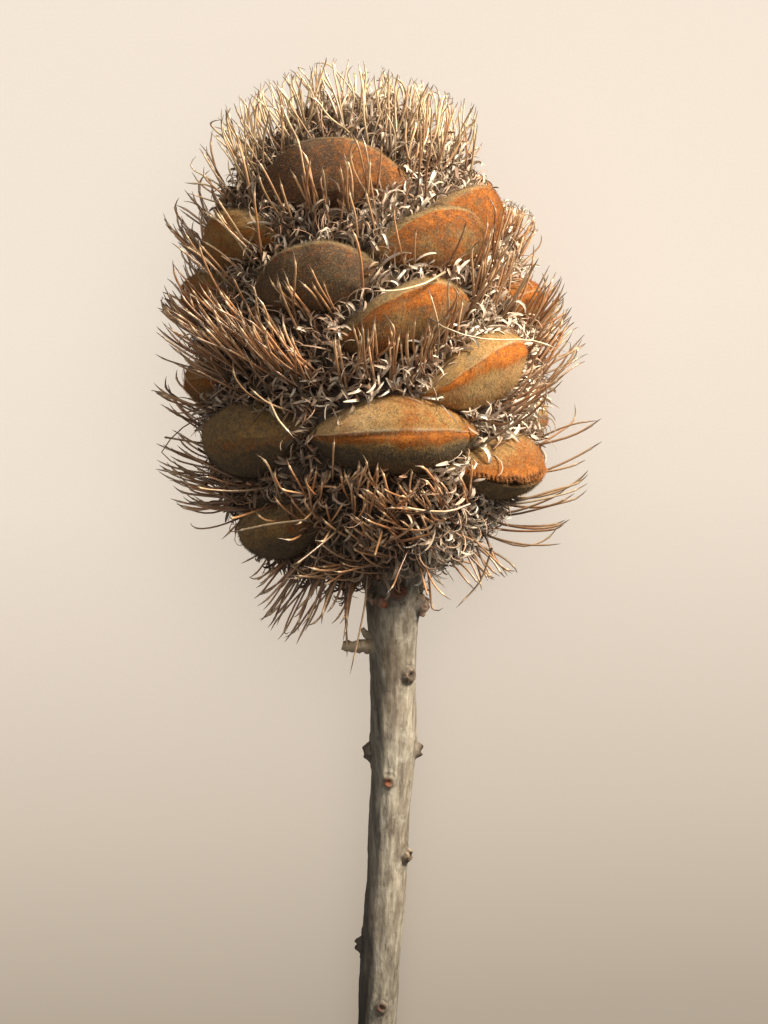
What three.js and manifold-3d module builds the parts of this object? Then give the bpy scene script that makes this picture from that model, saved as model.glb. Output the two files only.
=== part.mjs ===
// A dried banksia cone on its cut stem, lying on a surface. Millimetres, +Z up.
//
// The cone is laid out as it grew, in a growing frame: u to the right, v up along the stem, w to the front.
// It is then laid down on its back, resting on two seed follicles and on the rim of the stem's cut end.
//
//   stem        one woody stalk with the old leaf scars, buds and a broken leaf base that grew on it
//   cone_body   the woody spike with its dense mat of dried bracts, one ovoid
//   follicle_*  the seed capsules, each a velvety boat-shaped lens seated on the cone body
//   styles_*    patches of the dried flowers: a thin pad of bracts with its stiff, upswept styles

import * as THREE from "three";
import { mergeVertices } from "three/addons/utils/BufferGeometryUtils.js";
import Module from "manifold-3d";

const wasm = await Module();
wasm.setup();

// ---------------------------------------------------------------- driving dimensions, mm
const CONE_BASE = [1.0, -15.75]; // u, v of the cone's axis where the stem enters
const CONE_APEX = [-10.25, 101.0]; // u, v of its top: the cone leans a little on its stem
const BODY_PROFILE = [ // distance along the axis, radius of the bract mat
  [0, 0], [1.5, 9.5], [5, 18.5], [11, 26.5], [19, 32], [29, 35.5], [42, 37.2], [56, 37.4],
  [70, 36.6], [80, 34.3], [90, 30.5], [99, 25.2], [107, 18.6], [113, 11.6], [117.3, 0],
];
const BODY_AROUND = 32;
const GAP = 0.3; // clearance between neighbouring pieces
const STEM_PATH = [ // u, v, radius of the stem, from the cut end to the neck under the cone
  [-4.0, -150.0, 4.85], [-3.0, -141.0, 4.8], [-1.9, -128.0, 4.75], [-1.1, -114.0, 4.85], [0.1, -99.0, 5.0],
  [0.9, -84.0, 4.95], [1.9, -68.0, 5.25], [2.3, -56.0, 5.65], [2.35, -43.0, 5.6], [2.3, -33.0, 6.0],
  [2.2, -25.0, 6.5], [2.5, -18.0, 7.4], [2.5, -13.0, 8.4], [2.3, -9.0, 8.9],
];
const STEM_SIDES = 14;
// v, angle round the stem (0 front, 90 right), length out, half height: old leaf scars and buds
const SCARS = [
  [-19.5, 8, 3.2, 3.6], [-23.0, 72, 2.9, 3.0], [-40.5, 40, 1.9, 2.8], [-60.0, -95, 2.0, 2.3], [-59.5, 88, 1.7, 2.2],
  [-67.0, -8, 1.2, 1.9], [-85.5, 62, 1.9, 2.3], [-108.0, -92, 1.9, 2.1], [-123.0, 10, 1.3, 2.2],
  [-36.0, 175, 1.8, 2.5], [-77.0, 165, 1.6, 2.2], [-100.0, 140, 1.6, 2.1], [-139.0, 110, 1.5, 2.0],
];
const LEAF_BASE = { v: -33.6, phi: -78, length: 7.0, r0: 1.7, r1: 1.15 }; // broken leaf stalk

// name, s along the axis, phi round it (0 front, 90 right), roll, pitch, half length, half height, stand-off
const FOLLICLES = [
  ["follicle_01", 96.0, -11.0, 0, 0, 19.3, 8.7, 8.6],
  ["follicle_02", 84.0, 57.0, 2, 0, 17.0, 7.4, 8.2],
  ["follicle_03", 78.6, 34.0, 0, 6, 17.2, 7.6, 8.4],
  ["follicle_04", 84.5, -61.0, 0, 4, 16.8, 7.7, 7.8],
  ["follicle_05", 72.0, -17.0, 4, 10, 16.6, 8.0, 8.4],
  ["follicle_06", 71.7, -80.0, 0, 4, 16.8, 6.8, 8.6],
  ["follicle_07", 61.0, 16.0, 13, 10, 18.2, 7.7, 8.6],
  ["follicle_08", 64.0, 83.0, 0, 4, 16.0, 6.6, 8.2],
  ["follicle_09", 47.4, 46.0, 15, 6, 18.6, 8.4, 8.8],
  ["follicle_10", 52.0, -86.0, 0, 0, 16.0, 6.8, 8.4],
  ["follicle_11", 36.6, -56.0, -2, 0, 20.0, 9.4, 9.4],
  ["follicle_12", 33.8, 8.2, -4, 3, 21.0, 9.3, 9.6],
  ["follicle_13", 24.7, 61.0, 3, 8, 18.6, 8.5, 9.8],
  ["follicle_14", 14.2, -64.0, 2, 16, 18.8, 7.6, 8.6],
  ["follicle_15", 79.0, 161.5, 3, 0, 18.0, 8.2, 9.2],
  ["follicle_16", 78.0, -158.5, -4, 0, 18.0, 8.2, 9.2],
  ["follicle_17", 97.5, 176.0, 0, 0, 17.0, 7.8, 7.4],
  ["follicle_18", 60.0, 122.0, 4, 4, 17.4, 8.2, 8.6],
  ["follicle_19", 54.0, -126.0, -6, 4, 17.4, 8.4, 8.2],
  ["follicle_20", 36.5, 110.0, 2, 2, 18.0, 8.8, 8.8],
  ["follicle_21", 31.0, -114.0, 2, 2, 17.6, 8.6, 8.6],
  ["follicle_22", 90.5, 112.0, -2, 4, 16.6, 7.6, 7.8],
  ["follicle_23", 93.0, -110.0, 3, 4, 16.0, 7.4, 7.6],
];
const FOLLICLE_RING = [0, 28, 58, 88, 180, 272, 302, 332]; // degrees round a cross-section, the suture at 0
const FOLLICLE_ALONG = 7;

// band, s from, s to, sectors, first sector's centre, styles in each patch
const STYLE_BANDS = [
  ["crown", 99.5, 114.5, 3, 30, 8],
  ["upper", 86.0, 99.0, 5, 10, 6],
  ["middle", 66.0, 85.5, 6, -20, 6],
  ["lower", 42.0, 65.5, 6, 15, 6],
  ["base", 20.0, 41.5, 6, -12, 6],
  ["neck", 5.0, 19.5, 4, 20, 6],
];
const PAD = 1.5; // thickness of a bract pad
const PAD_LIFT = { crown: 1.9, upper: 1.8, neck: 1.9 }; // its underside above the body, 1.6 elsewhere: more where the body curves faster
const STYLE_R0 = 0.5, STYLE_R1 = 0.36; // radius of a style at its root and near its tip

// ---------------------------------------------------------------- small tools
const V = (x, y, z) => new THREE.Vector3(x, y, z);
const RAD = Math.PI / 180;
let seed = 20260;
const rnd = () => { seed = (seed * 1103515245 + 12345) % 2147483648; return seed / 2147483648; };
const AXIS_LENGTH = Math.hypot(CONE_APEX[0] - CONE_BASE[0], CONE_APEX[1] - CONE_BASE[1]);
const E_A = V((CONE_APEX[0] - CONE_BASE[0]) / AXIS_LENGTH, (CONE_APEX[1] - CONE_BASE[1]) / AXIS_LENGTH, 0);
const E_R = V(E_A.y, -E_A.x, 0);
const E_W = V(0, 0, 1);

function radiusAt(s) {
  for (let i = 1; i < BODY_PROFILE.length; i++) {
    const [a, ra] = BODY_PROFILE[i - 1], [b, rb] = BODY_PROFILE[i];
    if (s <= b) return ra + (rb - ra) * Math.max(0, (s - a) / (b - a));
  }
  return 0;
}
const outward = (phi) => E_R.clone().multiplyScalar(Math.sin(phi)).addScaledVector(E_W, Math.cos(phi));
// A point by distance along the cone's axis, angle round it and height above the bract mat
function onCone(s, phi, lift = 0) {
  const slope = (radiusAt(s + 1.5) - radiusAt(s - 1.5)) / 3;
  const n = outward(phi).addScaledVector(E_A, -slope).normalize();
  const p = V(CONE_BASE[0], CONE_BASE[1], 0).addScaledVector(E_A, s).addScaledVector(outward(phi), radiusAt(s));
  const t = outward(phi + Math.PI / 2);
  const up = new THREE.Vector3().crossVectors(n, t).normalize();
  if (up.dot(E_A) < 0) up.negate();
  return { p: p.addScaledVector(n, lift), n, t, up };
}

function solid(geometry) {
  const g = geometry.clone();
  for (const name of Object.keys(g.attributes)) if (name !== "position") g.deleteAttribute(name);
  const m = mergeVertices(g, 1e-3);
  const made = new wasm.Manifold(new wasm.Mesh({
    numProp: 3, vertProperties: new Float32Array(m.attributes.position.array), triVerts: new Uint32Array(m.index.array),
  }));
  return made.volume() < 0 ? solid(flipped(m)) : made;
}
function flipped(g) {
  const i = g.index.array.slice();
  for (let k = 0; k < i.length; k += 3) [i[k + 1], i[k + 2]] = [i[k + 2], i[k + 1]];
  return new THREE.BufferGeometry().setAttribute("position", g.attributes.position).setIndex(new THREE.BufferAttribute(i, 1));
}
const largest = (m) => m.decompose().reduce((a, b) => (b.volume() > a.volume() ? b : a));
function geometryOf(m) {
  const mesh = m.getMesh(), n = mesh.numProp, v = new Float32Array(mesh.numVert * 3);
  for (let i = 0; i < mesh.numVert; i++) v.set(mesh.vertProperties.subarray(i * n, i * n + 3), i * 3);
  const g = new THREE.BufferGeometry().setAttribute("position", new THREE.BufferAttribute(v, 3)).setIndex(new THREE.BufferAttribute(mesh.triVerts, 1));
  g.computeVertexNormals();
  return g;
}
// A closed surface from rings of points, with a fan at each end
function loft(rings, first, last) {
  const n = rings[0].length, pos = [], idx = [];
  for (const r of rings) for (const p of r) pos.push(p.x, p.y, p.z);
  pos.push(first.x, first.y, first.z, last.x, last.y, last.z);
  const a = rings.length * n, b = a + 1;
  for (let i = 0; i < n; i++) {
    const j = (i + 1) % n;
    idx.push(a, j, i);
    for (let k = 0; k + 1 < rings.length; k++) idx.push(k * n + i, k * n + j, (k + 1) * n + i, k * n + j, (k + 1) * n + j, (k + 1) * n + i);
    const e = (rings.length - 1) * n;
    idx.push(b, e + i, e + j);
  }
  return new THREE.BufferGeometry().setAttribute("position", new THREE.BufferAttribute(new Float32Array(pos), 3)).setIndex(idx);
}
function tube(points, radii, sides) {
  const rings = [];
  let side = null;
  points.forEach((p, i) => {
    const d = points[Math.min(i + 1, points.length - 1)].clone().sub(points[Math.max(i - 1, 0)]).normalize();
    if (!side) side = Math.abs(d.z) < 0.9 ? V(0, 0, 1) : V(1, 0, 0);
    side = side.clone().addScaledVector(d, -side.dot(d)).normalize();
    const other = new THREE.Vector3().crossVectors(d, side);
    rings.push([...Array(sides).keys()].map((k) => {
      const a = (2 * Math.PI * k) / sides;
      return p.clone().addScaledVector(side, radii[i] * Math.cos(a)).addScaledVector(other, radii[i] * Math.sin(a));
    }));
  });
  return loft(rings, points[0], points[points.length - 1]);
}

// ---------------------------------------------------------------- cone body
function bodySurface(offset, floor) {
  const stations = [1.5, 5, 11, 19, 29, 42, 56, 70, 80, 90, 99, 107, 113];
  const rings = stations.map((s) => [...Array(BODY_AROUND).keys()].map((k) => {
    const phi = (2 * Math.PI * k) / BODY_AROUND;
    const wave = 0.45 * Math.sin(3 * phi + s * 0.11) + 0.35 * Math.sin(5 * phi - s * 0.17);
    const q = onCone(s, phi, offset + wave * Math.min(1, radiusAt(s) / 20));
    if (floor) { const h = floor(q.p); if (h < 0.5) q.p.addScaledVector(floor.normal, 0.5 - h); }
    return q.p;
  }));
  const at = (s, d) => V(CONE_BASE[0], CONE_BASE[1], 0).addScaledVector(E_A, s + d);
  return loft(rings, at(0, -offset), at(AXIS_LENGTH, offset));
}

// ---------------------------------------------------------------- follicle: a boat-shaped lens with a raised suture
function follicleFrame(s, phiDeg, rollDeg, pitchDeg) {
  const f = onCone(s, phiDeg * RAD, 0);
  const pitch = pitchDeg * RAD, roll = rollDeg * RAD;
  const n = f.n.clone().multiplyScalar(Math.cos(pitch)).addScaledVector(f.up, Math.sin(pitch));
  const up0 = f.up.clone().multiplyScalar(Math.cos(pitch)).addScaledVector(f.n, -Math.sin(pitch));
  const t = f.t.clone().multiplyScalar(Math.cos(roll)).addScaledVector(up0, Math.sin(roll));
  const up = up0.clone().multiplyScalar(Math.cos(roll)).addScaledVector(f.t, -Math.sin(roll));
  return (x, y, z) => {
    const drop = (x * x) / (2 * (radiusAt(s) + 5)); // the ends wrap round the cone
    return f.p.clone().addScaledVector(t, x).addScaledVector(up, y).addScaledVector(n, z - drop);
  };
}
function follicle([, s, phiDeg, rollDeg, pitchDeg, a, b, c], grow = 0) {
  const place = follicleFrame(s, phiDeg, rollDeg, pitchDeg);
  const rings = [];
  for (let i = 1; i <= FOLLICLE_ALONG; i++) {
    const p = -Math.cos((Math.PI * i) / (FOLLICLE_ALONG + 1));
    const hb = b * (1 - Math.abs(p) ** 2.0) ** 0.78 + grow, hc = c * (1 - Math.abs(p) ** 2.6) ** 0.62 + grow;
    rings.push(FOLLICLE_RING.map((degrees) => {
      const psi = degrees * RAD, out = Math.cos(psi), ridge = degrees === 0 ? 1.05 : 1;
      return place(p * (a + grow), hb * Math.sin(psi), out > 0 ? hc * out * ridge : 6 * out * (1 - Math.abs(p) ** 4));
    }));
  }
  return loft(rings, place(-(a + grow), 0, 0), place(a + grow, 0, 0));
}

// The socket that a follicle needs in a pad of bracts: an upright prism round its outline
function socket([, s, phiDeg, rollDeg, pitchDeg, a, b, c]) {
  const place = follicleFrame(s, phiDeg, rollDeg, pitchDeg);
  const outline = [[-1.05, 0]];
  for (const p of [-0.8, -0.4, 0.4, 0.8]) outline.push([p, -1]);
  outline.push([1.05, 0]);
  for (const p of [0.8, 0.4, -0.4, -0.8]) outline.push([p, 1]);
  const ring = (z) => outline.map(([p, side]) => place(p * a, side * (1.1 * b * (1 - Math.min(1, Math.abs(p) * 0.93) ** 2.0) ** 0.78 + 0.4), z));
  const mid = (z) => place(0, 0, z);
  return loft([ring(-4), ring(c + 3)], mid(-4), mid(c + 3));
}

// ---------------------------------------------------------------- stem
function stemSolid() {
  const points = STEM_PATH.map(([u, v]) => V(u, v, 0.5 * Math.sin(v * 0.05)));
  let body = solid(tube(points, STEM_PATH.map((p) => p[2]), STEM_SIDES));
  const stemAt = (v) => {
    for (let i = 1; i < STEM_PATH.length; i++) {
      const a = STEM_PATH[i - 1], b = STEM_PATH[i];
      if (v <= b[1]) { const k = (v - a[1]) / (b[1] - a[1]); return { p: V(a[0] + (b[0] - a[0]) * k, v, 0.5 * Math.sin(v * 0.05)), r: a[2] + (b[2] - a[2]) * k }; }
    }
    return null;
  };
  for (const [v, phiDeg, out, half] of SCARS) {
    const { p, r } = stemAt(v), phi = phiDeg * RAD;
    const d = V(Math.sin(phi), 0, Math.cos(phi));
    const g = new THREE.OctahedronGeometry(1.05, 1).scale(out + 1.2, half, half * 0.8)
      .applyMatrix4(new THREE.Matrix4().makeBasis(d, V(0, 1, 0), new THREE.Vector3().crossVectors(d, V(0, 1, 0))))
      .translate(p.x + d.x * (r - 1.2), p.y, p.z + d.z * (r - 1.2));
    body = body.add(solid(g));
  }
  const { p, r } = stemAt(LEAF_BASE.v), phi = LEAF_BASE.phi * RAD;
  const d = V(Math.sin(phi), 0.12, Math.cos(phi)).normalize();
  const from = p.clone().addScaledVector(d, r - 2);
  body = body.add(solid(tube([from, from.clone().addScaledVector(d, 2 + LEAF_BASE.length * 0.5), from.clone().addScaledVector(d, 2 + LEAF_BASE.length)],
    [LEAF_BASE.r0 * 1.3, LEAF_BASE.r0, LEAF_BASE.r1], 7)));
  return body;
}

// ---------------------------------------------------------------- lay it down: the plane under the stem's cut end and two follicles
const bodyCut = solid(bodySurface(GAP));
const stemPiece = largest(stemSolid().subtract(bodyCut)).simplify(0.03);
const stemWide = solid(tube(STEM_PATH.slice(-5).map(([u, v]) => V(u, v, 0.5 * Math.sin(v * 0.05))), STEM_PATH.slice(-5).map((p) => p[2] + GAP + 0.1), STEM_SIDES));
const follicles = [];
let taken = null, sockets = null;
for (const row of FOLLICLES) {
  let f = solid(follicle(row)).subtract(bodyCut);
  if (taken) f = f.subtract(taken);
  f = largest(f).simplify(0.09);
  const wide = solid(follicle(row, GAP));
  taken = taken ? taken.add(wide) : wide;
  const prism = solid(socket(row));
  sockets = sockets ? sockets.add(prism) : prism;
  follicles.push([row[0], f]);
}
const vertsOf = (m) => { const q = m.getMesh(), out = []; for (let i = 0; i < q.numVert; i++) out.push(V(...q.vertProperties.subarray(i * q.numProp, i * q.numProp + 3))); return out; };
const feet = [vertsOf(stemPiece).filter((p) => p.y < -130), vertsOf(follicles[14][1]), vertsOf(follicles[15][1])];
let normal = V(0, -0.18, 0.98).normalize(), level = 0;
for (let i = 0; i < 30; i++) {
  const low = feet.map((list) => list.reduce((a, b) => (b.dot(normal) < a.dot(normal) ? b : a)));
  normal = low[1].clone().sub(low[0]).cross(low[2].clone().sub(low[0])).normalize();
  if (normal.z < 0) normal.negate();
  level = low[0].dot(normal);
}
const floor = (p) => p.dot(normal) - level;
floor.normal = normal;

const conePiece = solid(bodySurface(0, floor)), bodyWide = solid(bodySurface(0.15, floor));

// ---------------------------------------------------------------- styles
const wires = []; // every style made so far, with its patch
const distance = (a, b) => {
  let least = 1e9;
  for (let i = 0; i + 1 < a.length; i++) for (let j = 0; j + 1 < b.length; j++) {
    for (const x of [0, 0.25, 0.5, 0.75, 1]) {
      const p = a[i].clone().lerp(a[i + 1], x);
      const d = b[j + 1].clone().sub(b[j]), k = Math.max(0, Math.min(1, p.clone().sub(b[j]).dot(d) / d.lengthSq()));
      least = Math.min(least, p.distanceTo(b[j].clone().addScaledVector(d, k)));
    }
  }
  return least;
};
// Which way a style leaves the mat: upswept on most of the cone, drooping round the neck
function lean(s) {
  const pts = [[0, -62], [8, -48], [16, -25], [26, 2], [40, 26], [60, 40], [85, 40], [98, 26], [108, 14], [117, 4]];
  for (let i = 1; i < pts.length; i++) if (s <= pts[i][0]) { const [a, x] = pts[i - 1], [b, y] = pts[i]; return x + ((y - x) * (s - a)) / (b - a); }
  return 4;
}
function stylePath(s, phi, length, ease, root) {
  const f = onCone(s, phi, root), a = (lean(s) * ease + (rnd() - 0.5) * 16) * RAD;
  const dir = f.n.clone().multiplyScalar(Math.cos(a)).addScaledVector(f.up, Math.sin(a)).addScaledVector(f.t, (rnd() - 0.5) * 0.25).normalize();
  const steps = 3, points = [f.p.clone()];
  if (floor(points[0]) < 0.75) points[0].addScaledVector(normal, 0.75 - floor(points[0]));
  const bend = s < 14 ? -0.05 : 0.11;
  for (let i = 0; i < steps; i++) {
    const next = points[i].clone().addScaledVector(dir, length / steps);
    const h = floor(next);
    if (h < 0.75) { // it is pressed flat where the cone lies on it
      dir.addScaledVector(normal, -dir.dot(normal));
      dir.addScaledVector(normal, (0.75 - floor(points[i])) / (length / steps)).normalize();
      next.copy(points[i]).addScaledVector(dir, length / steps);
      if (floor(next) < 0.7) next.addScaledVector(normal, 0.7 - floor(next));
    }
    points.push(next);
    dir.addScaledVector(E_A, bend).normalize();
  }
  return points;
}
// the pads: thin patches of the mat's surface
const patches = [];
for (const [band, s0, s1, sectors, start, count] of STYLE_BANDS) {
  for (let k = 0; k < sectors; k++) {
    const width = (2 * Math.PI) / sectors, mid = start * RAD + k * width;
    const half = width / 2 - 0.6 / radiusAt((s0 + s1) / 2);
    const ends = band === "crown" || band === "neck";
    const nPhi = Math.max(3, Math.round((width / (2 * Math.PI)) * (ends ? 16 : 20))), nS = ends ? 3 : 2, lift0 = PAD_LIFT[band] ?? 1.6;
    const grid = (lift) => [...Array(nS + 1).keys()].map((i) => [...Array(nPhi + 1).keys()].map((j) => {
      const q = onCone(s0 + ((s1 - s0) * i) / nS, mid + half * ((2 * j) / nPhi - 1), lift);
      const h = floor(q.p), least = lift > lift0 ? 0.3 : 0.9;
      if (h < least) q.p.addScaledVector(normal, least - h);
      return q.p;
    }));
    const inner = grid(lift0), outer = grid(PAD + lift0), pos = [], idx = [];
    for (const g of [inner, outer]) for (const row of g) for (const p of row) pos.push(p.x, p.y, p.z);
    const id = (o, i, j) => o * (nS + 1) * (nPhi + 1) + i * (nPhi + 1) + j;
    const quad = (a, b, c, d) => idx.push(a, b, c, a, c, d);
    for (let i = 0; i < nS; i++) for (let j = 0; j < nPhi; j++) {
      quad(id(0, i, j), id(0, i, j + 1), id(0, i + 1, j + 1), id(0, i + 1, j));
      quad(id(1, i, j), id(1, i + 1, j), id(1, i + 1, j + 1), id(1, i, j + 1));
    }
    for (let i = 0; i < nS; i++) { quad(id(0, i, 0), id(0, i + 1, 0), id(1, i + 1, 0), id(1, i, 0)); quad(id(0, i, nPhi), id(1, i, nPhi), id(1, i + 1, nPhi), id(0, i + 1, nPhi)); }
    for (let j = 0; j < nPhi; j++) { quad(id(0, 0, j), id(1, 0, j), id(1, 0, j + 1), id(0, 0, j + 1)); quad(id(0, nS, j), id(0, nS, j + 1), id(1, nS, j + 1), id(1, nS, j)); }
    const padGeometry = new THREE.BufferGeometry().setAttribute("position", new THREE.BufferAttribute(new Float32Array(pos), 3)).setIndex(idx);
    let pad = solid(padGeometry).subtract(sockets);
    if (pad.intersect(bodyWide).volume() > 1e-5) pad = pad.subtract(bodyWide);
    if (band === "neck") pad = pad.subtract(stemWide);
    pad = largest(largest(pad).simplify(0.08));
    patches.push({ name: `styles_${band}_${k + 1}`, band, s0, s1, mid, half, count, pad });
  }
}
// the styles on each pad, none of them crossing another patch or a follicle
const pieces = [];
for (const { name, band, s0, s1, mid, half, count, pad } of patches) {
  let patch = pad, made = 0;
  const tries = count * 14;
  for (let i = 0; i < tries && made < count; i++) {
    const s = s0 + (s1 - s0) * (0.08 + 0.84 * rnd()), phi = mid + half * 0.92 * ((2 * ((i % count) + rnd())) / count - 1);
    const length = band === "crown" ? 18 + 6 * rnd() : band === "neck" ? 16 + 7 * rnd() : 17.5 + 6.5 * rnd();
    const path = stylePath(s, phi, length, 1 - i / tries, (PAD_LIFT[band] ?? 1.6) + PAD / 2); // where a follicle stands over it, a style leans less
    if (wires.some((w) => w.name !== name && distance(w.path, path) < 1.25)) continue;
    path.splice(2, 1);
    const g = solid(tube(path, [STYLE_R0, STYLE_R0, STYLE_R1], 3));
    if (g.intersect(taken).volume() > 1e-4 || g.intersect(bodyCut).volume() > 1e-4 || g.intersect(pad).volume() < 0.02) continue;
    if (patches.some((p) => p.pad !== pad && g.intersect(p.pad).volume() > 1e-5)) continue;
    const joined = patch.add(g);
    if (joined.decompose().length > 1) continue;
    patch = joined; made++;
    wires.push({ name, path });
  }
  pieces.push([name, largest(patch)]);
}

// ---------------------------------------------------------------- the laid-down frame
const Z = normal.clone();
const Y = V(0, 1, 0).addScaledVector(Z, -Z.y).normalize();
const X = new THREE.Vector3().crossVectors(Y, Z);
const lay = new THREE.Matrix4().set(X.x, X.y, X.z, 0, Y.x, Y.y, Y.z, 0, Z.x, Z.y, Z.z, -level, 0, 0, 0, 1);

const bark = new THREE.MeshStandardMaterial({ color: 0x9a8a72, roughness: 0.85, metalness: 0 });
const mat = new THREE.MeshStandardMaterial({ color: 0x6f6253, roughness: 0.95, metalness: 0 });
const velvet = new THREE.MeshStandardMaterial({ color: 0x9a6230, roughness: 0.9, metalness: 0 });
const straw = new THREE.MeshStandardMaterial({ color: 0x8c6238, roughness: 0.6, metalness: 0 });

const lying = new THREE.Group();
const add = (name, m, material) => {
  const mesh = new THREE.Mesh(geometryOf(m), material);
  mesh.name = name;
  lying.add(mesh);
};
add("stem", stemPiece, bark);
add("cone_body", largest(conePiece), mat);
for (const [name, m] of follicles) add(name, m, velvet);
for (const [name, m] of pieces) add(name, m, straw);

// The origin is under the middle of the whole, on the surface it lies on
const bounds = new THREE.Box3();
for (const mesh of lying.children) for (let i = 0, a = mesh.geometry.attributes.position; i < a.count; i++) bounds.expandByPoint(V(a.getX(i), a.getY(i), a.getZ(i)).applyMatrix4(lay));
const shift = V(-(bounds.min.x + bounds.max.x) / 2, -(bounds.min.y + bounds.max.y) / 2, -bounds.min.z);
lying.applyMatrix4(lay);
lying.position.add(shift);

const banksiaCone = new THREE.Group();
banksiaCone.add(lying);
export default banksiaCone;
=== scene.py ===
import math

import bpy
import numpy as np
from mathutils import Matrix, Vector


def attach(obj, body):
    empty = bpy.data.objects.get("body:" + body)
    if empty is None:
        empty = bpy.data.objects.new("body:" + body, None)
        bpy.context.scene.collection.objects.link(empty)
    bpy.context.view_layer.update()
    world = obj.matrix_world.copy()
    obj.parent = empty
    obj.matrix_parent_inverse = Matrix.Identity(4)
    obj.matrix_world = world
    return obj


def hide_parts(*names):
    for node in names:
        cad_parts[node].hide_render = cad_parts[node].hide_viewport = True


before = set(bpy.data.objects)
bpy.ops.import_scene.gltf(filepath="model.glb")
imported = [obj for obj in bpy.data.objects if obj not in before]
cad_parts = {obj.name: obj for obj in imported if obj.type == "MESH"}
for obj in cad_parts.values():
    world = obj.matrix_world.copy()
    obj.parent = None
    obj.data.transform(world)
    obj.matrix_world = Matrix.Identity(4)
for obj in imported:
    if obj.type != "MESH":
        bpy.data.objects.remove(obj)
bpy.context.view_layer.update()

# ---------------------------------------------------------------- the growing frame, in millimetres
# u to the right, v up along the stem, w to the front. LAY turns it onto the surface the cone lies on.
LAY_R = np.array([[0.9998996851249407, 0.0, 0.014164027924449396],
                  [0.0024295156789275463, 0.9851793890770212, -0.17150996703221996],
                  [-0.013954108377478926, 0.17152717375922494, 0.9850805609296948]])
LAY_T = np.array([2.9072796517873307, 15.051928291743657, 30.90142517595182])
FLOOR_N = LAY_R[2]
CONE_BASE = np.array([1.0, -15.75, 0.0])
CONE_APEX = np.array([-10.25, 101.0, 0.0])
CONE_LENGTH = float(np.linalg.norm(CONE_APEX - CONE_BASE))
E_A = (CONE_APEX - CONE_BASE) / CONE_LENGTH
E_R = np.array([E_A[1], -E_A[0], 0.0])
E_W = np.array([0.0, 0.0, 1.0])
PROFILE = np.array([[0, 0], [1.5, 9.5], [5, 18.5], [11, 26.5], [19, 32], [29, 35.5], [42, 37.2], [56, 37.4],
                    [70, 36.6], [80, 34.3], [90, 30.5], [99, 25.2], [107, 18.6], [113, 11.6], [117.3, 0]], float)
STEM_PATH = np.array([[-4.0, -150.0, 4.85], [-3.0, -141.0, 4.8], [-1.9, -128.0, 4.75], [-1.1, -114.0, 4.85], [0.1, -99.0, 5.0],
                      [0.9, -84.0, 4.95], [1.9, -68.0, 5.25], [2.3, -56.0, 5.65], [2.35, -43.0, 5.6], [2.3, -33.0, 6.0],
                      [2.2, -25.0, 6.5], [2.5, -18.0, 7.4], [2.5, -13.0, 8.4], [2.3, -9.0, 8.9]])
SCARS = [(-19.5, 8, 3.2, 3.6), (-23.0, 72, 2.9, 3.0), (-40.5, 40, 1.9, 2.8), (-60.0, -95, 2.3, 2.9), (-59.5, 88, 2.1, 2.8),
         (-67.0, -8, 1.4, 2.1), (-85.5, 62, 2.1, 2.6), (-108.0, -92, 2.1, 2.5), (-123.0, 10, 1.3, 2.2),
         (-36.0, 175, 1.8, 2.5), (-77.0, 165, 1.6, 2.2), (-100.0, 140, 1.6, 2.1), (-139.0, 110, 1.5, 2.0)]
FOLLICLES = [
    ("follicle_01", 96.0, -11.0, 0, 0, 19.3, 8.7, 8.6), ("follicle_02", 84.0, 57.0, 2, 0, 17.0, 7.4, 8.2),
    ("follicle_03", 78.6, 34.0, 0, 6, 17.2, 7.6, 8.4), ("follicle_04", 84.5, -61.0, 0, 4, 16.8, 7.7, 7.8),
    ("follicle_05", 72.0, -17.0, 4, 10, 16.6, 8.0, 8.4), ("follicle_06", 71.7, -80.0, 0, 4, 16.8, 6.8, 8.6),
    ("follicle_07", 61.0, 16.0, 13, 10, 18.2, 7.7, 8.6), ("follicle_08", 64.0, 83.0, 0, 4, 16.0, 6.6, 8.2),
    ("follicle_09", 47.4, 46.0, 15, 6, 18.6, 8.4, 8.8), ("follicle_10", 52.0, -86.0, 0, 0, 16.0, 6.8, 8.4),
    ("follicle_11", 36.6, -56.0, -2, 0, 20.0, 9.4, 9.4), ("follicle_12", 33.8, 8.2, -4, 3, 21.0, 9.3, 9.6),
    ("follicle_13", 24.7, 61.0, 3, 8, 18.6, 8.5, 9.8), ("follicle_14", 14.2, -64.0, 2, 16, 18.8, 7.6, 8.6),
    ("follicle_15", 79.0, 161.5, 3, 0, 18.0, 8.2, 9.2), ("follicle_16", 78.0, -158.5, -4, 0, 18.0, 8.2, 9.2),
    ("follicle_17", 97.5, 176.0, 0, 0, 17.0, 7.8, 7.4), ("follicle_18", 60.0, 122.0, 4, 4, 17.4, 8.2, 8.6),
    ("follicle_19", 54.0, -126.0, -6, 4, 17.4, 8.4, 8.2), ("follicle_20", 36.5, 110.0, 2, 2, 18.0, 8.8, 8.8),
    ("follicle_21", 31.0, -114.0, 2, 2, 17.6, 8.6, 8.6), ("follicle_22", 90.5, 112.0, -2, 4, 16.6, 7.6, 7.8),
    ("follicle_23", 93.0, -110.0, 3, 4, 16.0, 7.4, 7.6),
]
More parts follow.
